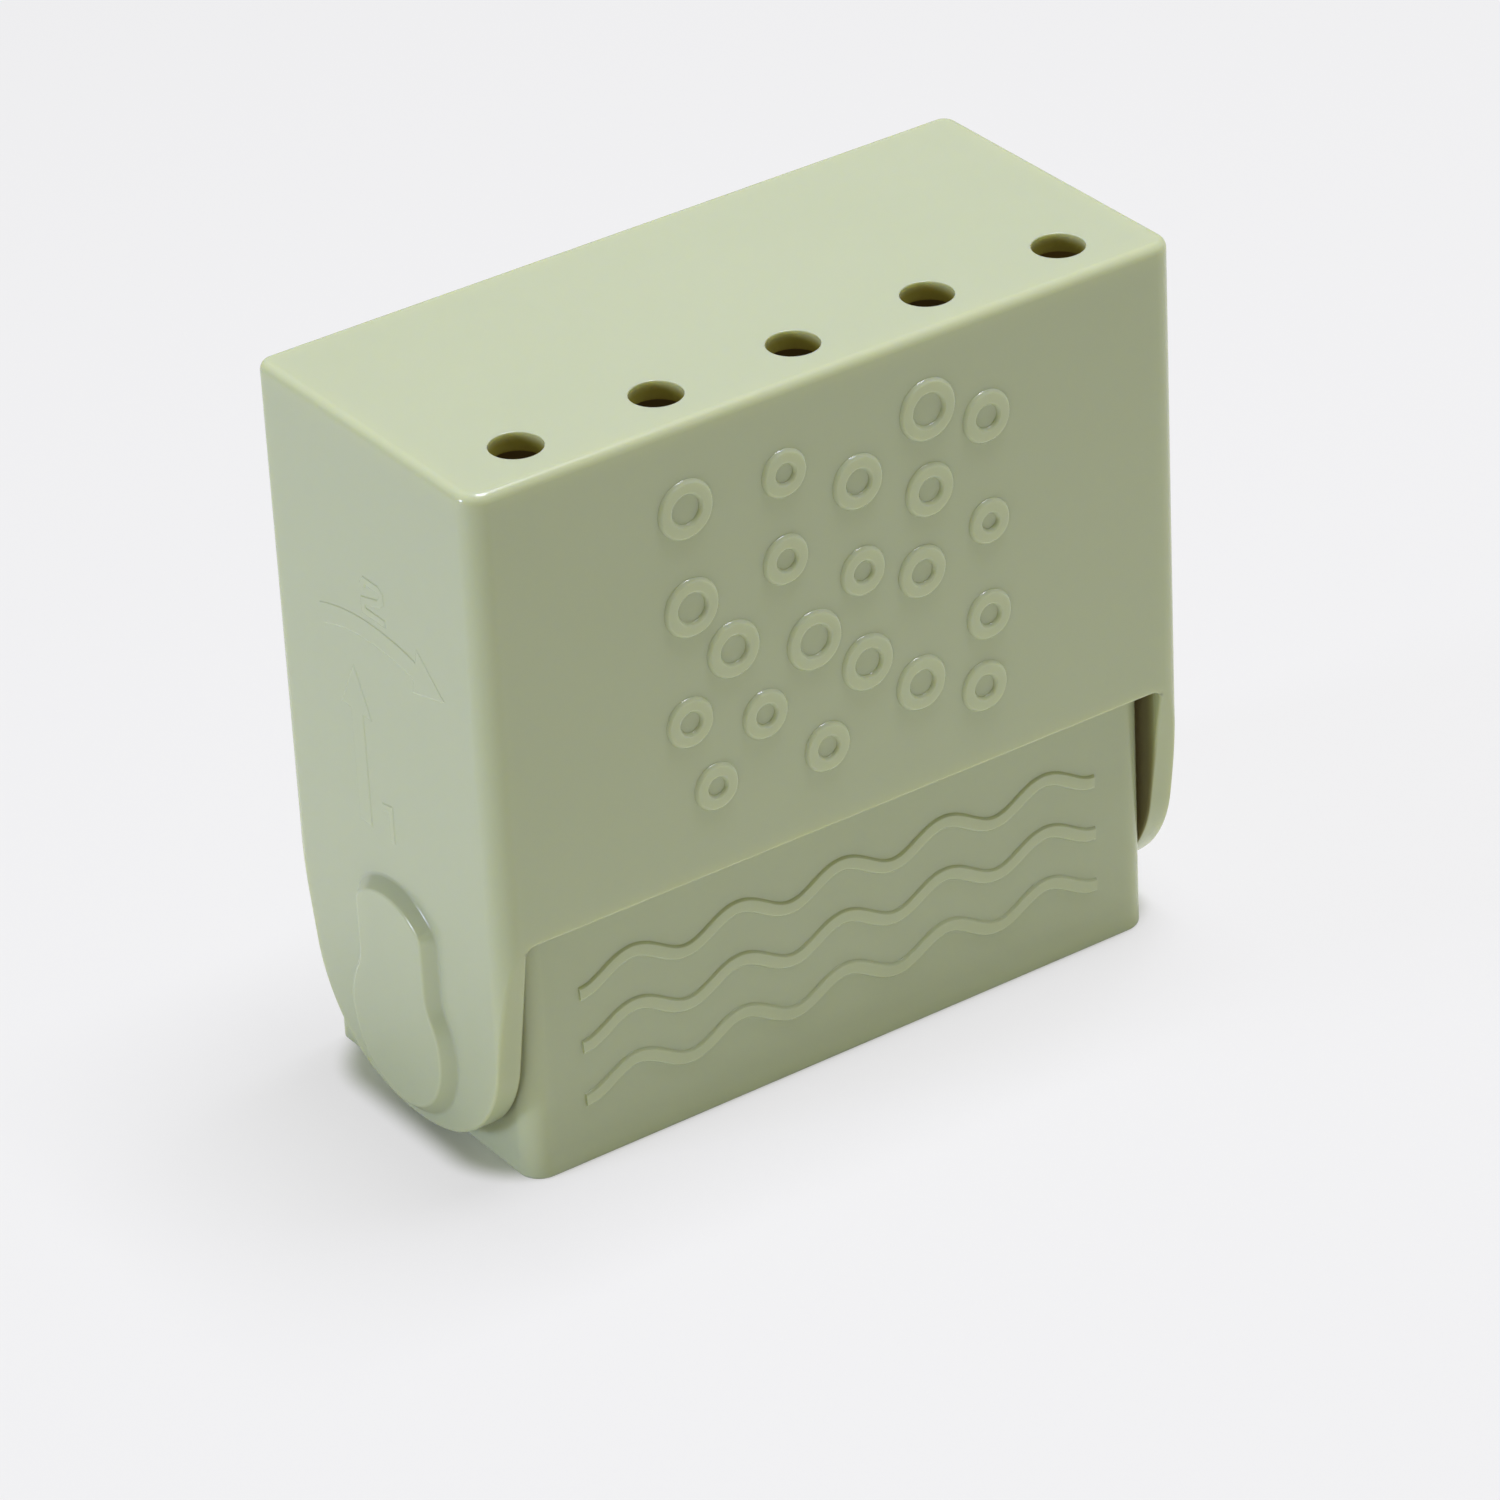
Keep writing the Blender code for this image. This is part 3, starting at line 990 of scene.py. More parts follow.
@dataclass(frozen=True)
class EarMarks:
    """Faint raised marks on the outside of an ear: step 1 lifts, step 2 swings to the front."""

    face_x: float
    shaft: float = 0.0024
    head: float = 0.0062
    head_length: float = 0.0060
    stroke: float = 0.0008
    rise: float = 0.00008
    sunk: float = 0.00003
    root: float = 0.00030
    slope_reach: float = 0.00022
    lift_path: tuple[Point, ...] = ((0.0055, 0.0402), (0.0055, 0.0614))
    swing_path: tuple[Point, ...] = ((0.0115, 0.0660), (0.0005, 0.0698), (-0.0142, 0.0654))
    steps: int = 24
    one: tuple[Point, ...] = ((-0.0012, 0.0041), (0.0004, 0.0044), (0.0004, 0.0))
    one_place: Point = (0.0001, 0.0401)
    two: tuple[Point, ...] = (
        (-0.0021, 0.0038), (-0.0015, 0.0046), (0.0014, 0.0046), (0.0020, 0.0041),
        (0.0020, 0.0033), (0.0014, 0.0027), (-0.0020, 0.0018), (-0.0020, 0.0005),
        (0.0024, 0.0005))
    two_place: Point = (0.0, 0.0699)
    field_half: float = 0.0190
    field_low: float = 0.0390
    field_high: float = 0.0780

    def is_border(self, edge: Edge) -> bool:
        """Tests whether an edge goes round one of the marks.

        Args:
            edge: The edge.

        Returns:
            Whether it does, at the mark's crest or foot.
        """
        if len(edge.link_faces) != 2 or edge.calc_face_angle(0) < FAINT_ANGLE:
            return False
        return all(abs(vert.co.x) > self.face_x - NEAR and abs(vert.co.y) < self.field_half
                   and self.field_low < vert.co.z < self.field_high for vert in edge.verts)

    def bend(self, path: Sequence[Point]) -> list[Vector]:
        """Spaces points along a path.

        Args:
            path: Two points for a straight line, three for an arch.

        Returns:
            The points, both ends included.
        """
        points = []
        for index in range(self.steps + 1):
            row = [Vector(point) for point in path]
            while len(row) > 1:
                row = [first.lerp(second, index / self.steps)
                       for first, second in zip(row, row[1:])]
            points.append(row[0])
        return points

    def borders(self, path: Sequence[Vector], width: float) -> tuple[list[Vector], list[Vector]]:
        """The two sides of a stroke.

        Args:
            path: Its middle line.
            width: Its width.

        Returns:
            The left and the right border, mitred at the bends.
        """
        left, right = [], []
        ways = [(second - first).normalized() for first, second in zip(path, path[1:])]
        for spot, before, after in zip(path, ways[:1] + ways, ways + ways[-1:]):
            middle = (before + after).normalized()
            off = Vector((-middle.y, middle.x)) * (width / 2 / middle.dot(after))
            left.append(spot + off)
            right.append(spot - off)
        return left, right

    def arrow(self, path: Sequence[Point]) -> list[Vector]:
        """The outline of an arrow.

        Args:
            path: What it follows, up to its tip.

        Returns:
            The closed outline, led clockwise.
        """
        points = self.bend(path)
        tip = points[-1]
        head_room = self.head_length + 2 * self.slope_reach
        line = [point for point in points if (point - tip).length > head_room]
        ahead = (tip - line[-1]).normalized()
        neck = tip - ahead * self.head_length
        barb = Vector((-ahead.y, ahead.x)) * self.head / 2
        left, right = self.borders(line + [neck], self.shaft)
        return left + [neck + barb, tip, neck - barb] + right[::-1]

    def figure(self, path: Sequence[Point]) -> list[Vector]:
        """Returns the outline of a figure drawn with one even stroke."""
        left, right = self.borders([Vector(point) for point in path], self.stroke)
        return left + right[::-1]

    def grown(self, outline: Sequence[Vector]) -> list[Vector]:
        """Moves an outline outwards by the reach of the slope.

        Args:
            outline: A closed outline, led clockwise.

        Returns:
            The bigger outline.
        """
        moved = []
        for before, spot, after in zip(outline[-1:] + outline[:-1], outline,
                                       outline[1:] + outline[:1]):
            way = (after - spot).normalized()
            middle = ((spot - before).normalized() + way).normalized()
            moved.append(spot + Vector((-middle.y, middle.x))
                         * (self.slope_reach / middle.dot(way)))
        return moved

    def raised(self, name: str, outline: Sequence[Vector], side: Side, place: Point = (0.0, 0.0),
               reads: bool = False) -> Piece:
        """A flat outline as a low closed plate with sloped edges, rooted in the ear.

        Args:
            name: Name of the mark.
            outline: Its border; X runs along Y of the box unless it is writing.
            side: The ear.
            place: Its (y, z) place on the ear.
            reads: Whether it is writing, which has to run from left to right on both ears.

        Returns:
            The closed plate.
        """
        along = side.value if reads else 1
        foot = self.grown(outline)
        levels = ((foot, -self.root), (foot, -self.sunk), (outline, self.rise))
        return loft(f"{side.label}_{name}", [
            [(side.value * (self.face_x + height), place[0] + along * spot.x, place[1] + spot.y)
             for spot in ring] for ring, height in levels])

    def build(self, side: Side) -> Piece:
        """All marks of one ear.

        Args:
            side: The ear.

        Returns:
            One object with their closed shells.
        """
        return join_shells(f"{side.label}_ear_marks", [
            self.raised("lift_arrow", self.arrow(self.lift_path), side),
            self.raised("swing_arrow", self.arrow(self.swing_path), side),
            self.raised("figure_1", self.figure(self.one), side, self.one_place, reads=True),
            self.raised("figure_2", self.figure(self.two), side, self.two_place, reads=True)])


@dataclass
class Cover:
    """The hood: roof with drain holes, short front and back walls, two long ears."""

    sizes: Measures
    front_upright_radius: float = 0.0030
    front_upright_steps: int = 16
    back_upright_radius: float = 0.0020
    back_upright_steps: int = 12
    roof_radius: float = 0.00125
    inner_radius: float = 0.0010
    notch_radius: float = 0.0012
    bend_steps: int = 8
    hole_radius: float = 0.00325
    hole_steps: int = 72
    boss_corner: float = 0.0030
    boss_shoulder: float = 0.0050
    lip_radius: float = 0.00035
    hole_lip_radius: float = 0.00012
    lip_steps: int = 4
    overrun: float = 0.002
    bubble_patch: tuple[float, float] = (0.045, 0.040)
    bubble_middle_z: float = 0.0650
    bubble_spacing: float = 0.0090
    bubble_smallest: float = 0.0019
    bubble_largest: float = 0.0031
    bubble_seed: int = 6

    def build(self, trees: dict[str, Tree], finish: Material) -> Piece:
        """The whole moulding.

        Args:
            trees: The geometry trees, by name.
            finish: Its plastic.

        Returns:
            One closed mesh.
        """
        cover = self.outer_block()
        combine(cover, self.ear_feet(), Join.CUT)
        for side in Side:
            combine(cover, self.boss(side), Join.ADD)
        for tool in (self.hollow(), self.ear_gap(), *map(self.track, Side),
                     self.drain_plugs(trees["row"], finish)):
            combine(cover, tool, Join.CUT)
        bm = clean_flats(cover)
        count = round_edges(bm, self.is_hole_rim, self.hole_lip_radius, self.lip_steps, False)
        count += round_edges(bm, lambda edge: is_lip(edge) or self.is_ear_rim(edge),
                             self.lip_radius, self.lip_steps, clamp=False)
        log.info("cover: %d edges given a soft lip", count)
        put_back(bm, cover)
        combine(cover, self.bubbles(trees["bubbles"], finish), Join.ADD)
        marks = EarMarks(self.sizes.half_width)
        for side in Side:
            combine(cover, marks.build(side), Join.ADD)
        shade(cover, marks.is_border)
        return cover

    def is_hole_rim(self, edge: Edge) -> bool:
        """Returns whether an edge is part of a drain hole's upper or lower rim."""
        return is_lip(edge) and edge.verts[0].co.z > self.sizes.ceiling_z - NEAR

    def is_ear_rim(self, edge: Edge) -> bool:
        """Tests whether an edge is part of the rim round an ear's lower outline.

        Args:
            edge: The edge.

        Returns:
            Whether it is.
        """
        faint = edge.calc_face_angle(0) < FAINT_ANGLE
        if len(edge.link_faces) != 2 or not edge.is_convex or faint:
            return False
        return all(self.sizes.ear_outline.carries(vert.co) for vert in edge.verts)

    def outer_block(self) -> Piece:
        """The outside of the hood.

        Returns:
            One rounded block.
        """
        s = self.sizes
        bm = block((-s.half_width, -s.half_depth, 0), (s.half_width, s.half_depth, s.high.z))
        round_edges(bm, lambda edge: is_upright(edge) and edge.verts[0].co.y < 0,
                    self.front_upright_radius, self.front_upright_steps)
        round_edges(bm, lambda edge: is_upright(edge) and edge.verts[0].co.y > 0,
                    self.back_upright_radius, self.back_upright_steps)
        round_edges(bm, lambda edge: lies_level(edge, s.high.z), self.roof_radius, self.bend_steps)
        return mesh_object("hood_cover", bm)

    def ear_feet(self) -> Piece:
        """Returns what the ears' lower outline leaves out, as a tool to cut with."""
        reach = self.sizes.half_width + self.overrun
        return side_plate("ear_feet", self.sizes.ear_outline.cutter(self.overrun), -reach, reach)

    def boss(self, side: Side) -> Piece:
        """The raised keyhole on the outside of one ear.

        Args:
            side: The ear.

        Returns:
            A closed piece with a sloped edge, rooted in the ear.
        """
        s = self.sizes
        keyhole = s.keyhole(s.track_gap + s.boss_wall, corner=self.boss_corner,
                            shoulder=self.boss_shoulder)
        profile = SlopedEdge(rise=s.boss_rise).profile()
        levels = [(profile[0][0], s.half_width - s.ear_thickness / 2)]
        levels += [(inset, s.half_width + height) for inset, height in profile]
        return loft(f"{side.label}_boss", [
            [(side.value * x, y, z) for y, z in keyhole.outline(inset)] for inset, x in levels])

    def hollow(self) -> Piece:
        """The room inside the hood.

        Returns:
            A tool to cut with.
        """
        s = self.sizes
        bm = block((-s.ear_inner_x, -s.face_inner_y, -self.overrun),
                   (s.ear_inner_x, s.face_inner_y, s.ceiling_z))
        round_edges(bm, is_upright, self.inner_radius, self.bend_steps)
        round_edges(bm, lambda edge: lies_level(edge, s.ceiling_z), self.inner_radius / 2,
                    self.bend_steps // 2)
        return mesh_object("hood_hollow", bm)

    def ear_gap(self) -> Piece:
        """The room between the ears, under the front and back walls.

        Returns:
            A tool to cut with.
        """
        s = self.sizes
        reach = s.half_depth + self.overrun
        bm = block((-s.ear_inner_x, -reach, -self.overrun), (s.ear_inner_x, reach, s.face_edge_z))

        def is_notch_corner(edge: Edge) -> bool:
            """Returns whether an edge is one of the two upper ones along Y."""
            along_y = abs(edge.verts[0].co.x - edge.verts[1].co.x) < FLAT
            return along_y and lies_level(edge, s.face_edge_z)

        round_edges(bm, is_notch_corner, self.notch_radius, self.bend_steps)
        return mesh_object("ear_gap", bm)

    def track(self, side: Side) -> Piece:
        """The keyhole track inside one ear, in which the pin runs.

        Args:
            side: The ear.

        Returns:
            A tool to cut with.
        """
        s = self.sizes
        return side_plate(f"{side.label}_track", s.keyhole(s.track_gap).outline(),
                          side.value * (s.ear_inner_x - self.overrun),
                          side.value * s.track_floor_x)

    def drain_plugs(self, row: Tree, finish: Material) -> Piece:
        """The row of round plugs that cuts the drain holes.

        Args:
            row: The even row tree.
            finish: The cover's plastic.

        Returns:
            A tool to cut with.
        """
        s = self.sizes
        bm = bmesh.new()
        place = Matrix.Translation((0, s.hole_setback - s.half_depth,
                                    (s.high.z + s.ceiling_z) / 2))
        bmesh.ops.create_cone(bm, cap_ends=True, segments=self.hole_steps,
                              radius1=self.hole_radius, radius2=self.hole_radius,
                              depth=s.roof_thickness + 2 * self.overrun, matrix=place)
        return run_tree(mesh_object("drain_plugs", bm), row,
                        {"Count": s.hole_count, "Pitch": s.hole_pitch, "Finish": finish})

    def bubbles(self, tree: Tree, finish: Material) -> Piece:
        """The plain raised bubbles on the front wall.

        Args:
            tree: The bubble tree.
            finish: The cover's plastic.

        Returns:
            Their closed shells.
        """
        bm = bmesh.new()
        bmesh.ops.create_grid(bm, x_segments=1, y_segments=1, size=0.5,
                              matrix=Matrix.Diagonal((*self.bubble_patch, 1, 1)))
        return run_tree(mesh_object("front_bubbles", bm), tree, {
            "Spacing": self.bubble_spacing, "Seed": self.bubble_seed,
            "Smallest": self.bubble_smallest, "Largest": self.bubble_largest, "Finish": finish,
            "Place": (0.0, -self.sizes.half_depth, self.bubble_middle_z)})


@dataclass
class Tray:
    """The open tray with its two flat-sided pins."""

    sizes: Measures
    wall: float = 0.0022
    floor: float = 0.0025
    front_radius: float = 0.0030
    front_steps: int = 16
    rear_radius: float = 0.0012
    rear_steps: int = 12
    foot_radius: float = 0.0005
    foot_steps: int = 6
    pin_steps: int = 28
    lip_radius: float = 0.00045
    lip_steps: int = 4
    rib_width: float = 0.0015
    rib_height: float = 0.0015
    rib_end_gap: float = 0.0030
    overrun: float = 0.002
    wave_length: float = 0.0152
    wave_reach: float = 0.0760
    wave_rows: int = 3
    wave_pitch: float = 0.0074
    wave_swing: float = 0.0015
    wave_rise: float = 0.00032
    wave_middle_z: float = 0.0178

    @property
    def side_x(self) -> float:
        """Where the outer side faces lie."""
        return self.sizes.ear_inner_x - self.sizes.side_gap

    def build(self, trees: dict[str, Tree], finish: Material) -> Piece:
        """The whole moulding.

        Args:
            trees: The geometry trees, by name.
            finish: Its plastic.

        Returns:
            One closed mesh.
        """
        tray = self.outer_block()
        combine(tray, self.rear_lap(), Join.CUT)
        combine(tray, self.hollow(), Join.CUT)
        for part in (self.ribs(trees["row"], finish), *map(self.pin, Side)):
            combine(tray, part, Join.ADD)
        bm = clean_flats(tray)
        count = round_edges(bm, is_lip, self.lip_radius, self.lip_steps, clamp=False)
        log.info("tray: %d edges given a soft lip", count)
        put_back(bm, tray)
        combine(tray, self.waves(trees["waves"], finish), Join.ADD)
        shade(tray)
        return tray

    def outer_block(self) -> Piece:
        """The outside of the tray, with soft front corners and a flush back.

        Returns:
            One rounded block.
        """
        s = self.sizes
        bm = block((-self.side_x, s.tray_low.y, 0), (self.side_x, s.half_depth, s.tray_high.z))
        round_edges(bm, lambda edge: is_upright(edge) and edge.verts[0].co.y < 0,
                    self.front_radius, self.front_steps)
        round_edges(bm, lambda edge: is_upright(edge) and edge.verts[0].co.y > s.face_inner_y
                    and edge.calc_face_angle(0) > CORNER_ANGLE, self.rear_radius, self.rear_steps)
        round_edges(bm, lambda edge: lies_level(edge, 0), self.foot_radius, self.foot_steps)
        return mesh_object("soap_tray", bm)

    def rear_lap(self) -> Piece:
        """What the tray leaves free for the cover's back wall.

        Returns:
            A tool to cut with.
        """
        s = self.sizes
        low = (-s.half_width, s.face_inner_y - s.side_gap, s.face_edge_z - s.seat_gap)
        high = (s.half_width, s.half_depth + self.overrun, s.tray_high.z + self.overrun)
        return mesh_object("rear_lap", block(low, high))

    def hollow(self) -> Piece:
        """The room inside the tray.

        Returns:
            A tool to cut with.
        """
        s = self.sizes
        low = (-self.side_x + self.wall, s.tray_low.y + self.wall, self.floor)
        high = (self.side_x - self.wall, s.half_depth - self.wall, s.tray_high.z + self.overrun)
        bm = block(low, high)
        round_edges(bm, is_upright, self.front_radius - self.wall, self.foot_steps)
        return mesh_object("tray_hollow", bm)

    def ribs(self, row: Tree, finish: Material) -> Piece:
        """The low ribs on the tray's floor.

        Args:
            row: The even row tree.
            finish: The tray's plastic.

        Returns:
            Their closed shells.
        """
        s = self.sizes
        low = (-self.rib_width / 2, s.tray_low.y + self.wall + self.rib_end_gap, self.floor / 2)
        high = (self.rib_width / 2, s.half_depth - self.wall - self.rib_end_gap,
                self.floor + self.rib_height)
        return run_tree(mesh_object("tray_ribs", block(low, high)), row,
                        {"Count": s.hole_count, "Pitch": s.hole_pitch, "Finish": finish})

    def pin(self, side: Side) -> Piece:
        """One pin, flat at its front and back.

        Args:
            side: The ear that it runs in.

        Returns:
            A closed piece, rooted in the tray's side.
        """
        s = self.sizes
        reach = math.acos(s.pin_flat_half / s.pin_radius)
        outline: list[Point] = []
        for start in (0.0, math.pi):
            outline += arc((0, s.pin_z), s.pin_radius, start + reach, start + math.pi - reach,
                           self.pin_steps)
        return side_plate(f"{side.label}_pin", outline,
                          side.value * (self.side_x - self.wall / 2), side.value * s.tray_high.x)

    def waves(self, tree: Tree, finish: Material) -> Piece:
        """The plain raised waves on the tray's front.

        Args:
            tree: The wave tree.
            finish: The tray's plastic.

        Returns:
            Their closed shells.
        """
        return run_tree(mesh_object("tray_waves", bmesh.new()), tree, {
            "Length": self.wave_reach, "Rows": self.wave_rows, "Pitch": self.wave_pitch,
            "Wave": self.wave_length, "Swing": self.wave_swing, "Rise": self.wave_rise,
            "Finish": finish, "Place": (0.0, self.sizes.tray_low.y, self.wave_middle_z)})


def clouding_group() -> Tree:
    """Broad, faint clouds of a second tint through a moulded plastic.

    Returns:
        The shader group.
    """
    grey = (0.5, 0.5, 0.5, 1.0)
    graph = Graph.group("plastic_clouding", 'ShaderNodeTree', {
        "Base": grey, "Tint": grey, "Scale": 30.0, "Amount": 0.5}, {"Colour": Kind.COLOUR})
    given = graph.given
    noise = graph.noise(Scale=given["Scale"], Detail=3.0, Roughness=0.55, Distortion=0.6)
    share = graph.times(graph.ramp(noise, start=0.35, end=0.68, smooth=False), given["Amount"])
    graph.feed(graph.out["Colour"], graph.blend(share, given["Base"], given["Tint"]))
    return graph.tree


def skin_group() -> Tree:
    """Slow ripple and fine grain of a moulded skin, as a height and a roughness.

    Returns:
        The shader group.
    """
    graph = Graph.group("moulded_skin", 'ShaderNodeTree', {
        "Ripple Scale": 90.0, "Ripple": 1.0, "Grain Scale": 2500.0, "Grain": 0.2, "Gloss": 0.3,
        "Gloss Spread": 0.08}, {"Height": Kind.NUMBER, "Roughness": Kind.NUMBER})
    given = graph.given
    ripple = graph.noise(Scale=given["Ripple Scale"], Detail=1.5, Roughness=0.4)
    grain = graph.noise(Scale=given["Grain Scale"], Detail=2.0, Roughness=0.6)
    smears = graph.noise(Scale=140.0, Detail=4.0, Roughness=0.65, Distortion=1.2)
    height = graph.plus(graph.times(ripple, given["Ripple"]), graph.times(grain, given["Grain"]))
    graph.feed(graph.out["Height"], height)
    swing = graph.minus(smears, 0.5)
    graph.feed(graph.out["Roughness"],
               graph.calc('MULTIPLY_ADD', swing, given["Gloss Spread"], given["Gloss"]))
    return graph.tree


@dataclass(frozen=True)
class PaintedLightMasks:
    """Masks of painted light and shade on a box-shaped moulding.

    A lighter band of painted light runs along its outer edges, painted shade lies on the faces
    inside its walls and is darker far inside, and relief that stands out of the front and back
    faces is painted lighter. The pairs say at which depths under the outer faces a mask starts
    and is full.
    """

    side_steepness: float = 4.0
    face_start: float = 0.0006
    inside_start: float = 0.00002
    deep: Point = (0.008, 0.022)
    behind_face: Point = (0.0006, 0.0032)
    raised: Point = (-0.0001, -0.0004)

    def group(self) -> Tree:
        """The masks as one group.

        Returns:
            The shader group.
        """
        graph = Graph.group("painted_light_masks", 'ShaderNodeTree', {
            "Half Width": 0.05, "Half Depth": 0.02, "Middle Y": 0.0, "Level": 0.09, "Down": 1.0,
            "Reach": 0.003, "Wall": 0.002, "Side Wall": 0.003},
            {name: Kind.NUMBER for name in ("Edge", "Inside", "Deep", "Raised")})
        given = graph.given
        x, y, z = graph.axes(graph.spot())
        from_side = graph.minus(given["Half Width"], graph.calc('ABSOLUTE', x))
        from_face = graph.minus(given["Half Depth"],
                                graph.calc('ABSOLUTE', graph.minus(y, given["Middle Y"])))
        from_level = graph.times(graph.minus(given["Level"], z), given["Down"])
        edge_distance = graph.least(*(
            graph.calc('MAXIMUM', first, second) for first, second in
            ((from_side, from_face), (from_side, from_level), (from_face, from_level))))
        past_side = graph.minus(from_side, given["Side Wall"])
        depth = graph.least(graph.times(past_side, self.side_steepness),
                            graph.minus(from_face, self.face_start), from_level)
        inside = graph.ramp(depth, self.inside_start, given["Wall"])
        deep = graph.ramp(from_level, *self.deep)
        far_in = graph.times(deep, graph.ramp(from_face, *self.behind_face))
        off_face = graph.minus(1.0, graph.minus(deep, far_in))
        # The masks place painted light and shade: a lighter edge band, painted shade inside the
        # walls, darker painted shade far inside, and lighter raised relief.
        for name, mask in (
                ("Edge", graph.ramp(edge_distance, 0.0, given["Reach"], low=1.0, high=0.0)),
                ("Inside", graph.times(inside, off_face)), ("Deep", graph.times(inside, far_in)),
                ("Raised", graph.ramp(from_face, *self.raised, smooth=False))):
            graph.feed(graph.out[name], mask)
        return graph.tree


@dataclass(frozen=True)
class WallPlaces:
    """Where the outer walls of a box-shaped moulding lie, for its masks."""

    half_width: float
    half_depth: float
    middle_y: float
    level: float
    down: float
    side_wall: float


@dataclass(frozen=True)
class SagePlastic:
    """Glossy-satin sage moulded plastic that lets some light through at its edges, with painted
    light, painted shade and a faint painted glow laid on its colour.
    """

    name: str
    walls: WallPlaces
    base: Colour = (0.520, 0.560, 0.360, 1)
    tint: Colour = (0.502, 0.545, 0.348, 1)
    # Painted light: a lighter band along the outer edges.
    edge: Colour = (0.545, 0.585, 0.350, 1)
    # Painted shade, darker and yellower, on the faces inside the walls.
    inside: Colour = (0.360, 0.340, 0.028, 1)
    # Darker painted shade far inside the moulding.
    deep: Colour = (0.085, 0.083, 0.066, 1)
    # Painted light: relief that stands out of the front and back faces is made lighter.
    raised: Colour = (0.570, 0.612, 0.400, 1)
    glow: Colour = (1.000, 0.600, 0.200, 1)
    unlit: Colour = (0, 0, 0, 1)
    ior: float = 1.48
    gloss: float = 0.19
    cloud_scale: float = 26.0
    cloud_amount: float = 0.5
    ripple: float = 1.0
    grain: float = 0.04
    bump_distance: float = 0.00006
    # How far and how strongly the painted light, painted shade and painted glow reach.
    edge_light_reach: float = 0.0042
    edge_light_amount: float = 0.45
    inside_wall: float = 0.0014
    inside_amount: float = 0.95
    inside_dullness: float = 0.60
    deep_amount: float = 0.80
    raised_amount: float = 0.70
    glow_amount: float = 0.015
    subsurface: float = 0.60
    subsurface_radius: Place = (1.0, 0.85, 0.35)
    subsurface_scale: float = 0.0032

    def material(self, groups: dict[str, Tree]) -> Material:
        """The material.

        Args:
            groups: The shared shader groups, by name.

        Returns:
            A material that reads object coordinates only.
        """
        material = bpy.data.materials.new(self.name)
        material.use_nodes = True
        graph = Graph(material.node_tree)
        walls = self.walls
        clouds = graph.add('ShaderNodeGroup', node_tree=groups["clouding"], Base=self.base,
                           Tint=self.tint, Scale=self.cloud_scale, Amount=self.cloud_amount)
        masks = graph.add(
            'ShaderNodeGroup', node_tree=groups["walls"], Half_Width=walls.half_width,
            Half_Depth=walls.half_depth, Middle_Y=walls.middle_y, Level=walls.level,
            Down=walls.down, Side_Wall=walls.side_wall, Reach=self.edge_light_reach,
            Wall=self.inside_wall).outputs
        skin = graph.add('ShaderNodeGroup', node_tree=groups["skin"], Ripple=self.ripple,
                         Grain=self.grain, Gloss=self.gloss).outputs
        colour = clouds.outputs["Colour"]
        # Painted light and shade laid over the clouded colour, mask by mask.
        for mask, amount, other in (("Edge", self.edge_light_amount, self.edge),
                                    ("Inside", self.inside_amount, self.inside),
                                    ("Deep", self.deep_amount, self.deep),
                                    ("Raised", self.raised_amount, self.raised)):
            colour = graph.blend(graph.times(masks[mask], amount), colour, other)
        bump = graph.add('ShaderNodeBump', Strength=1.0, Distance=self.bump_distance,
                         Height=skin["Height"])
        roughness = graph.calc('MULTIPLY_ADD', masks["Inside"], self.inside_dullness,
                               skin["Roughness"])
        # The emission is a faint painted glow on the faces inside the walls, though nothing there
        # is a lamp.
        graph.fill(graph.tree.nodes["Principled BSDF"], Base_Color=colour, IOR=self.ior,
                   Roughness=roughness, Normal=bump.outputs["Normal"],
                   Subsurface_Weight=self.subsurface, Subsurface_Radius=self.subsurface_radius,
                   Subsurface_Scale=self.subsurface_scale, Emission_Strength=self.glow_amount,
                   Emission_Color=graph.blend(masks["Inside"], self.unlit, self.glow))
        return material


@dataclass(frozen=True)
class PaleFloor:
    """Plain pale floor under a painted pale glow that the camera sees, which hides the floor's
    shadows except close round the box's foot, where the real shadow shows.
    """

    colour: Colour = (0.83, 0.83, 0.72, 1)
    roughness: float = 0.6
    glow: Colour = (0.870, 0.862, 0.885, 1)
    glow_share: float = 0.73
    foot_middle: Point = (0.0, 0.0015)
    foot_half: Point = (0.0402, 0.0100)
    foot_round: float = 0.0080
    shadow_reach: float = 0.0045

    def material(self) -> Material:
        """The floor's material.

        Returns:
            The material.
        """
        material = bpy.data.materials.new("pale_floor")
        material.use_nodes = True
        graph = Graph(material.node_tree)
        nodes = material.node_tree.nodes
        shader = graph.fill(nodes["Principled BSDF"], Base_Color=self.colour,
                            Roughness=self.roughness)
        # Painted glow: the camera sees this pale emission instead of the floor's shading, up to
        # the share, which falls to nothing round the box's foot.
        glow = graph.add('ShaderNodeEmission', Color=self.glow, Strength=1.0)
        beyond = []
        for spot, middle, half in zip(graph.axes(graph.spot()), self.foot_middle, self.foot_half):
            past = graph.minus(graph.calc('ABSOLUTE', graph.minus(spot, middle)), half)
            beyond.append(graph.calc('POWER', graph.calc('MAXIMUM', past, 0.0), 2.0))
        away = graph.ramp(graph.calc('SQRT', graph.plus(*beyond)), self.foot_round,
                          self.foot_round + self.shadow_reach, high=self.glow_share)
        graph.camera_sees(away, shader, glow, nodes["Material Output"])
        return material


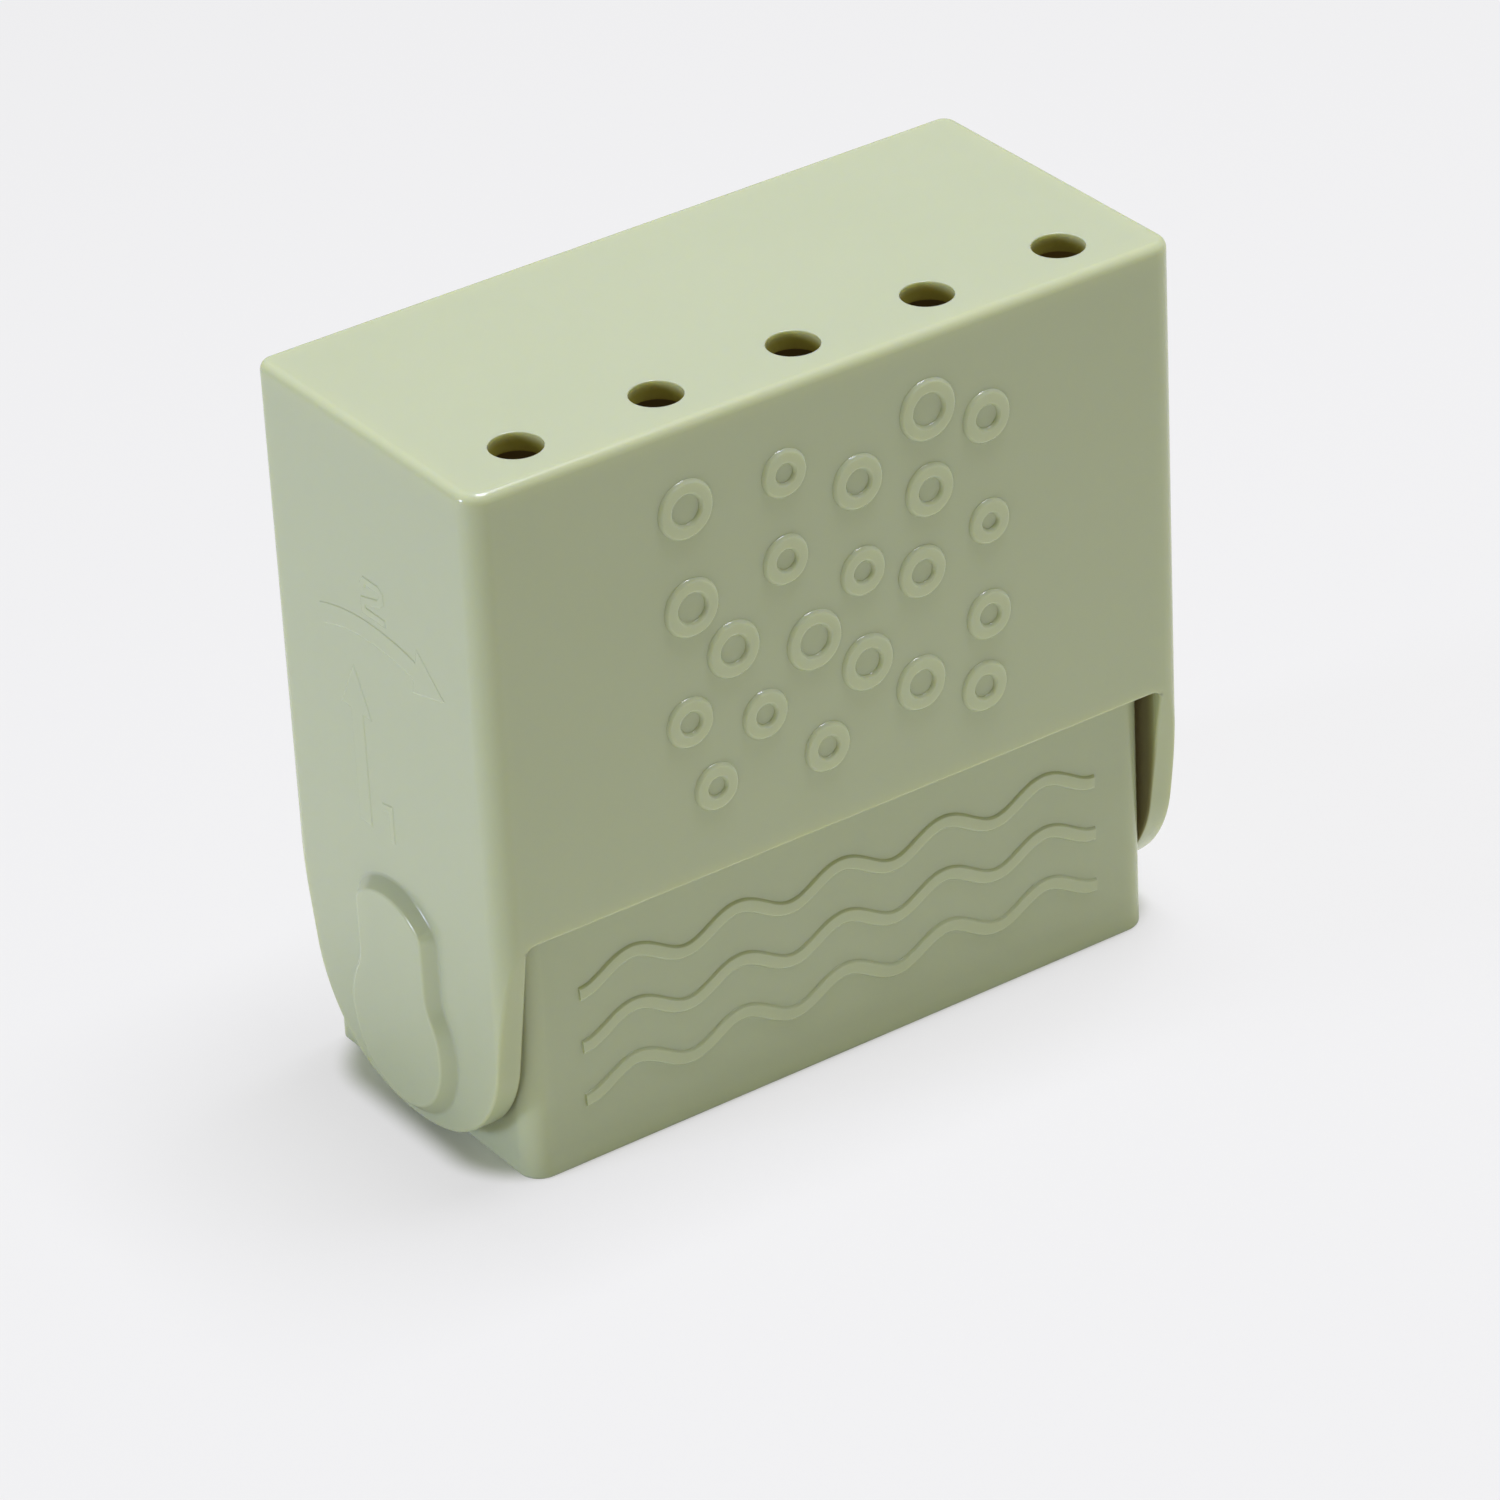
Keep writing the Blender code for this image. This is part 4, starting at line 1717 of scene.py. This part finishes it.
@dataclass(frozen=True)
class PhotoCamera:
    """Camera at the photograph's place, turn and field of view."""

    place: Place = (-0.4138, -0.6211, 0.4759)
    yaw: float = math.radians(-33.74)
    pitch: float = math.radians(30.66)
    roll: float = math.radians(3.01)
    focal_share: float = 7171.3 / 1500
    sensor: float = 36.0
    nearest: float = 0.01

    def build(self) -> Piece:
        """Puts up the camera and sets it as the scene's own.

        Returns:
            The camera.
        """
        forward = Vector((-math.sin(self.yaw) * math.cos(self.pitch),
                          math.cos(self.yaw) * math.cos(self.pitch), -math.sin(self.pitch)))
        right = Vector((math.cos(self.yaw), math.sin(self.yaw), 0))
        down = forward.cross(right)
        rolled_right = math.cos(self.roll) * right + math.sin(self.roll) * down
        rolled_down = -math.sin(self.roll) * right + math.cos(self.roll) * down
        turn = Matrix((rolled_right, -rolled_down, -forward)).transposed()
        data = bpy.data.cameras.new("photo_camera")
        data.sensor_width = self.sensor
        data.lens = self.focal_share * self.sensor
        data.clip_start = self.nearest
        camera = add_to_scene("photo_camera", data)
        camera.matrix_world = Matrix.Translation(self.place) @ turn.to_4x4()
        bpy.context.scene.camera = camera
        return camera


@dataclass(frozen=True)
class Lamp:
    """One soft area lamp that looks at the box."""

    name: str
    place: Place
    power: float
    size: float
    colour: Place
    target: Place = (0.0, 0.0, 0.04)

    def build(self) -> Piece:
        """Puts up the lamp.

        Returns:
            The lamp.
        """
        data = bpy.data.lights.new(self.name, 'AREA')
        data.shape = 'SQUARE'
        data.size = self.size
        data.energy = self.power
        data.color = self.colour
        lamp = add_to_scene(self.name, data)
        lamp.location = self.place
        look = Vector(self.target) - Vector(self.place)
        lamp.rotation_euler = look.to_track_quat('-Z', 'Y').to_euler()
        return lamp


@dataclass
class Studio:
    """Pale floor, soft lamps, an even surround that lights and a pale backdrop that shows."""

    floor: PaleFloor = field(default_factory=PaleFloor)
    floor_reach: float = 3.0
    surround: Colour = (0.965, 0.99, 0.745, 1)
    surround_strength: float = 0.250
    backdrop: Colour = (0.840, 0.838, 0.850, 1)
    lamps: tuple[Lamp, ...] = (
        Lamp("top_softbox", (0.20, -0.02, 1.13), 11.7, 0.45, (0.985, 0.99, 1.22)),
        Lamp("left_softbox", (-0.98, 0.20, 0.30), 3.12, 0.20, (0.90, 0.97, 1.40)),
    )

    def build(self) -> None:
        """Makes the floor, the lamps and the world."""
        bm = bmesh.new()
        bmesh.ops.create_grid(bm, x_segments=2, y_segments=2, size=self.floor_reach)
        ground = mesh_object("studio_floor", bm)
        ground.data.materials.append(self.floor.material())
        for lamp in self.lamps:
            lamp.build()
        world = bpy.data.worlds.new("studio_surround")
        world.use_nodes = True
        graph = Graph(world.node_tree)
        nodes = world.node_tree.nodes
        background = graph.fill(nodes["Background"], Color=self.surround,
                                Strength=self.surround_strength)
        backdrop = graph.add('ShaderNodeBackground', Color=self.backdrop, Strength=1.0)
        graph.camera_sees(1.0, background, backdrop, nodes["World Output"])
        bpy.context.scene.world = world
        bpy.context.scene.view_settings.view_transform = 'Standard'


def dress(piece: Piece, material: Material, body: str) -> None:
    """Gives a piece its material, body and slot, and reports it.

    Args:
        piece: The piece.
        material: Its one material.
        body: The body that it rides on.
    """
    piece.data.materials.clear()
    piece.data.materials.append(material)
    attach(piece, body)
    spots = [vert.co for vert in piece.data.vertices]
    reach = ", ".join(f"{min(row):.5f} to {max(row):.5f}" for row in zip(*spots))
    log.info("%s: %d faces on body %s, %s", piece.name, len(piece.data.polygons), body, reach)


def main() -> None:
    """Builds the box, its finishes and the studio."""
    logging.basicConfig(level=logging.INFO, format="%(name)s: %(message)s")
    sizes = Measures()
    groups = {"clouding": clouding_group(), "skin": skin_group(), "walls": PaintedLightMasks().group()}
    relief = Relief()
    trees = {"row": even_row_tree(), "bubbles": relief.bubble_tree(), "waves": relief.wave_tree()}

    hood = WallPlaces(sizes.half_width, sizes.half_depth, middle_y=0.0, level=sizes.high.z,
                      down=1.0, side_wall=0.0031)
    cover_finish = SagePlastic("cover_sage", hood).material(groups)
    cover = Cover(sizes).build(trees, cover_finish)
    dress(cover, cover_finish, "cover")
    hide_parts("outer_cover")

    tray = Tray(sizes)
    tub = WallPlaces(tray.side_x, (sizes.half_depth - sizes.tray_low.y) / 2,
                     middle_y=(sizes.half_depth + sizes.tray_low.y) / 2, level=0.0,
                     down=-1.0, side_wall=0.0016)
    # The tray's band of painted light, along its lower edges and upright corners, is brighter and
    # stronger.
    tray_finish = SagePlastic(
        "tray_sage", tub, base=(0.516, 0.557, 0.362, 1), tint=(0.498, 0.542, 0.350, 1),
        edge=(0.605, 0.650, 0.410, 1), edge_light_amount=0.60).material(groups)
    soap_tray = tray.build(trees, tray_finish)
    dress(soap_tray, tray_finish, "tray")
    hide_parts("inner_tray")

    Studio().build()
    PhotoCamera().build()


if __name__ == "__main__":
    main()
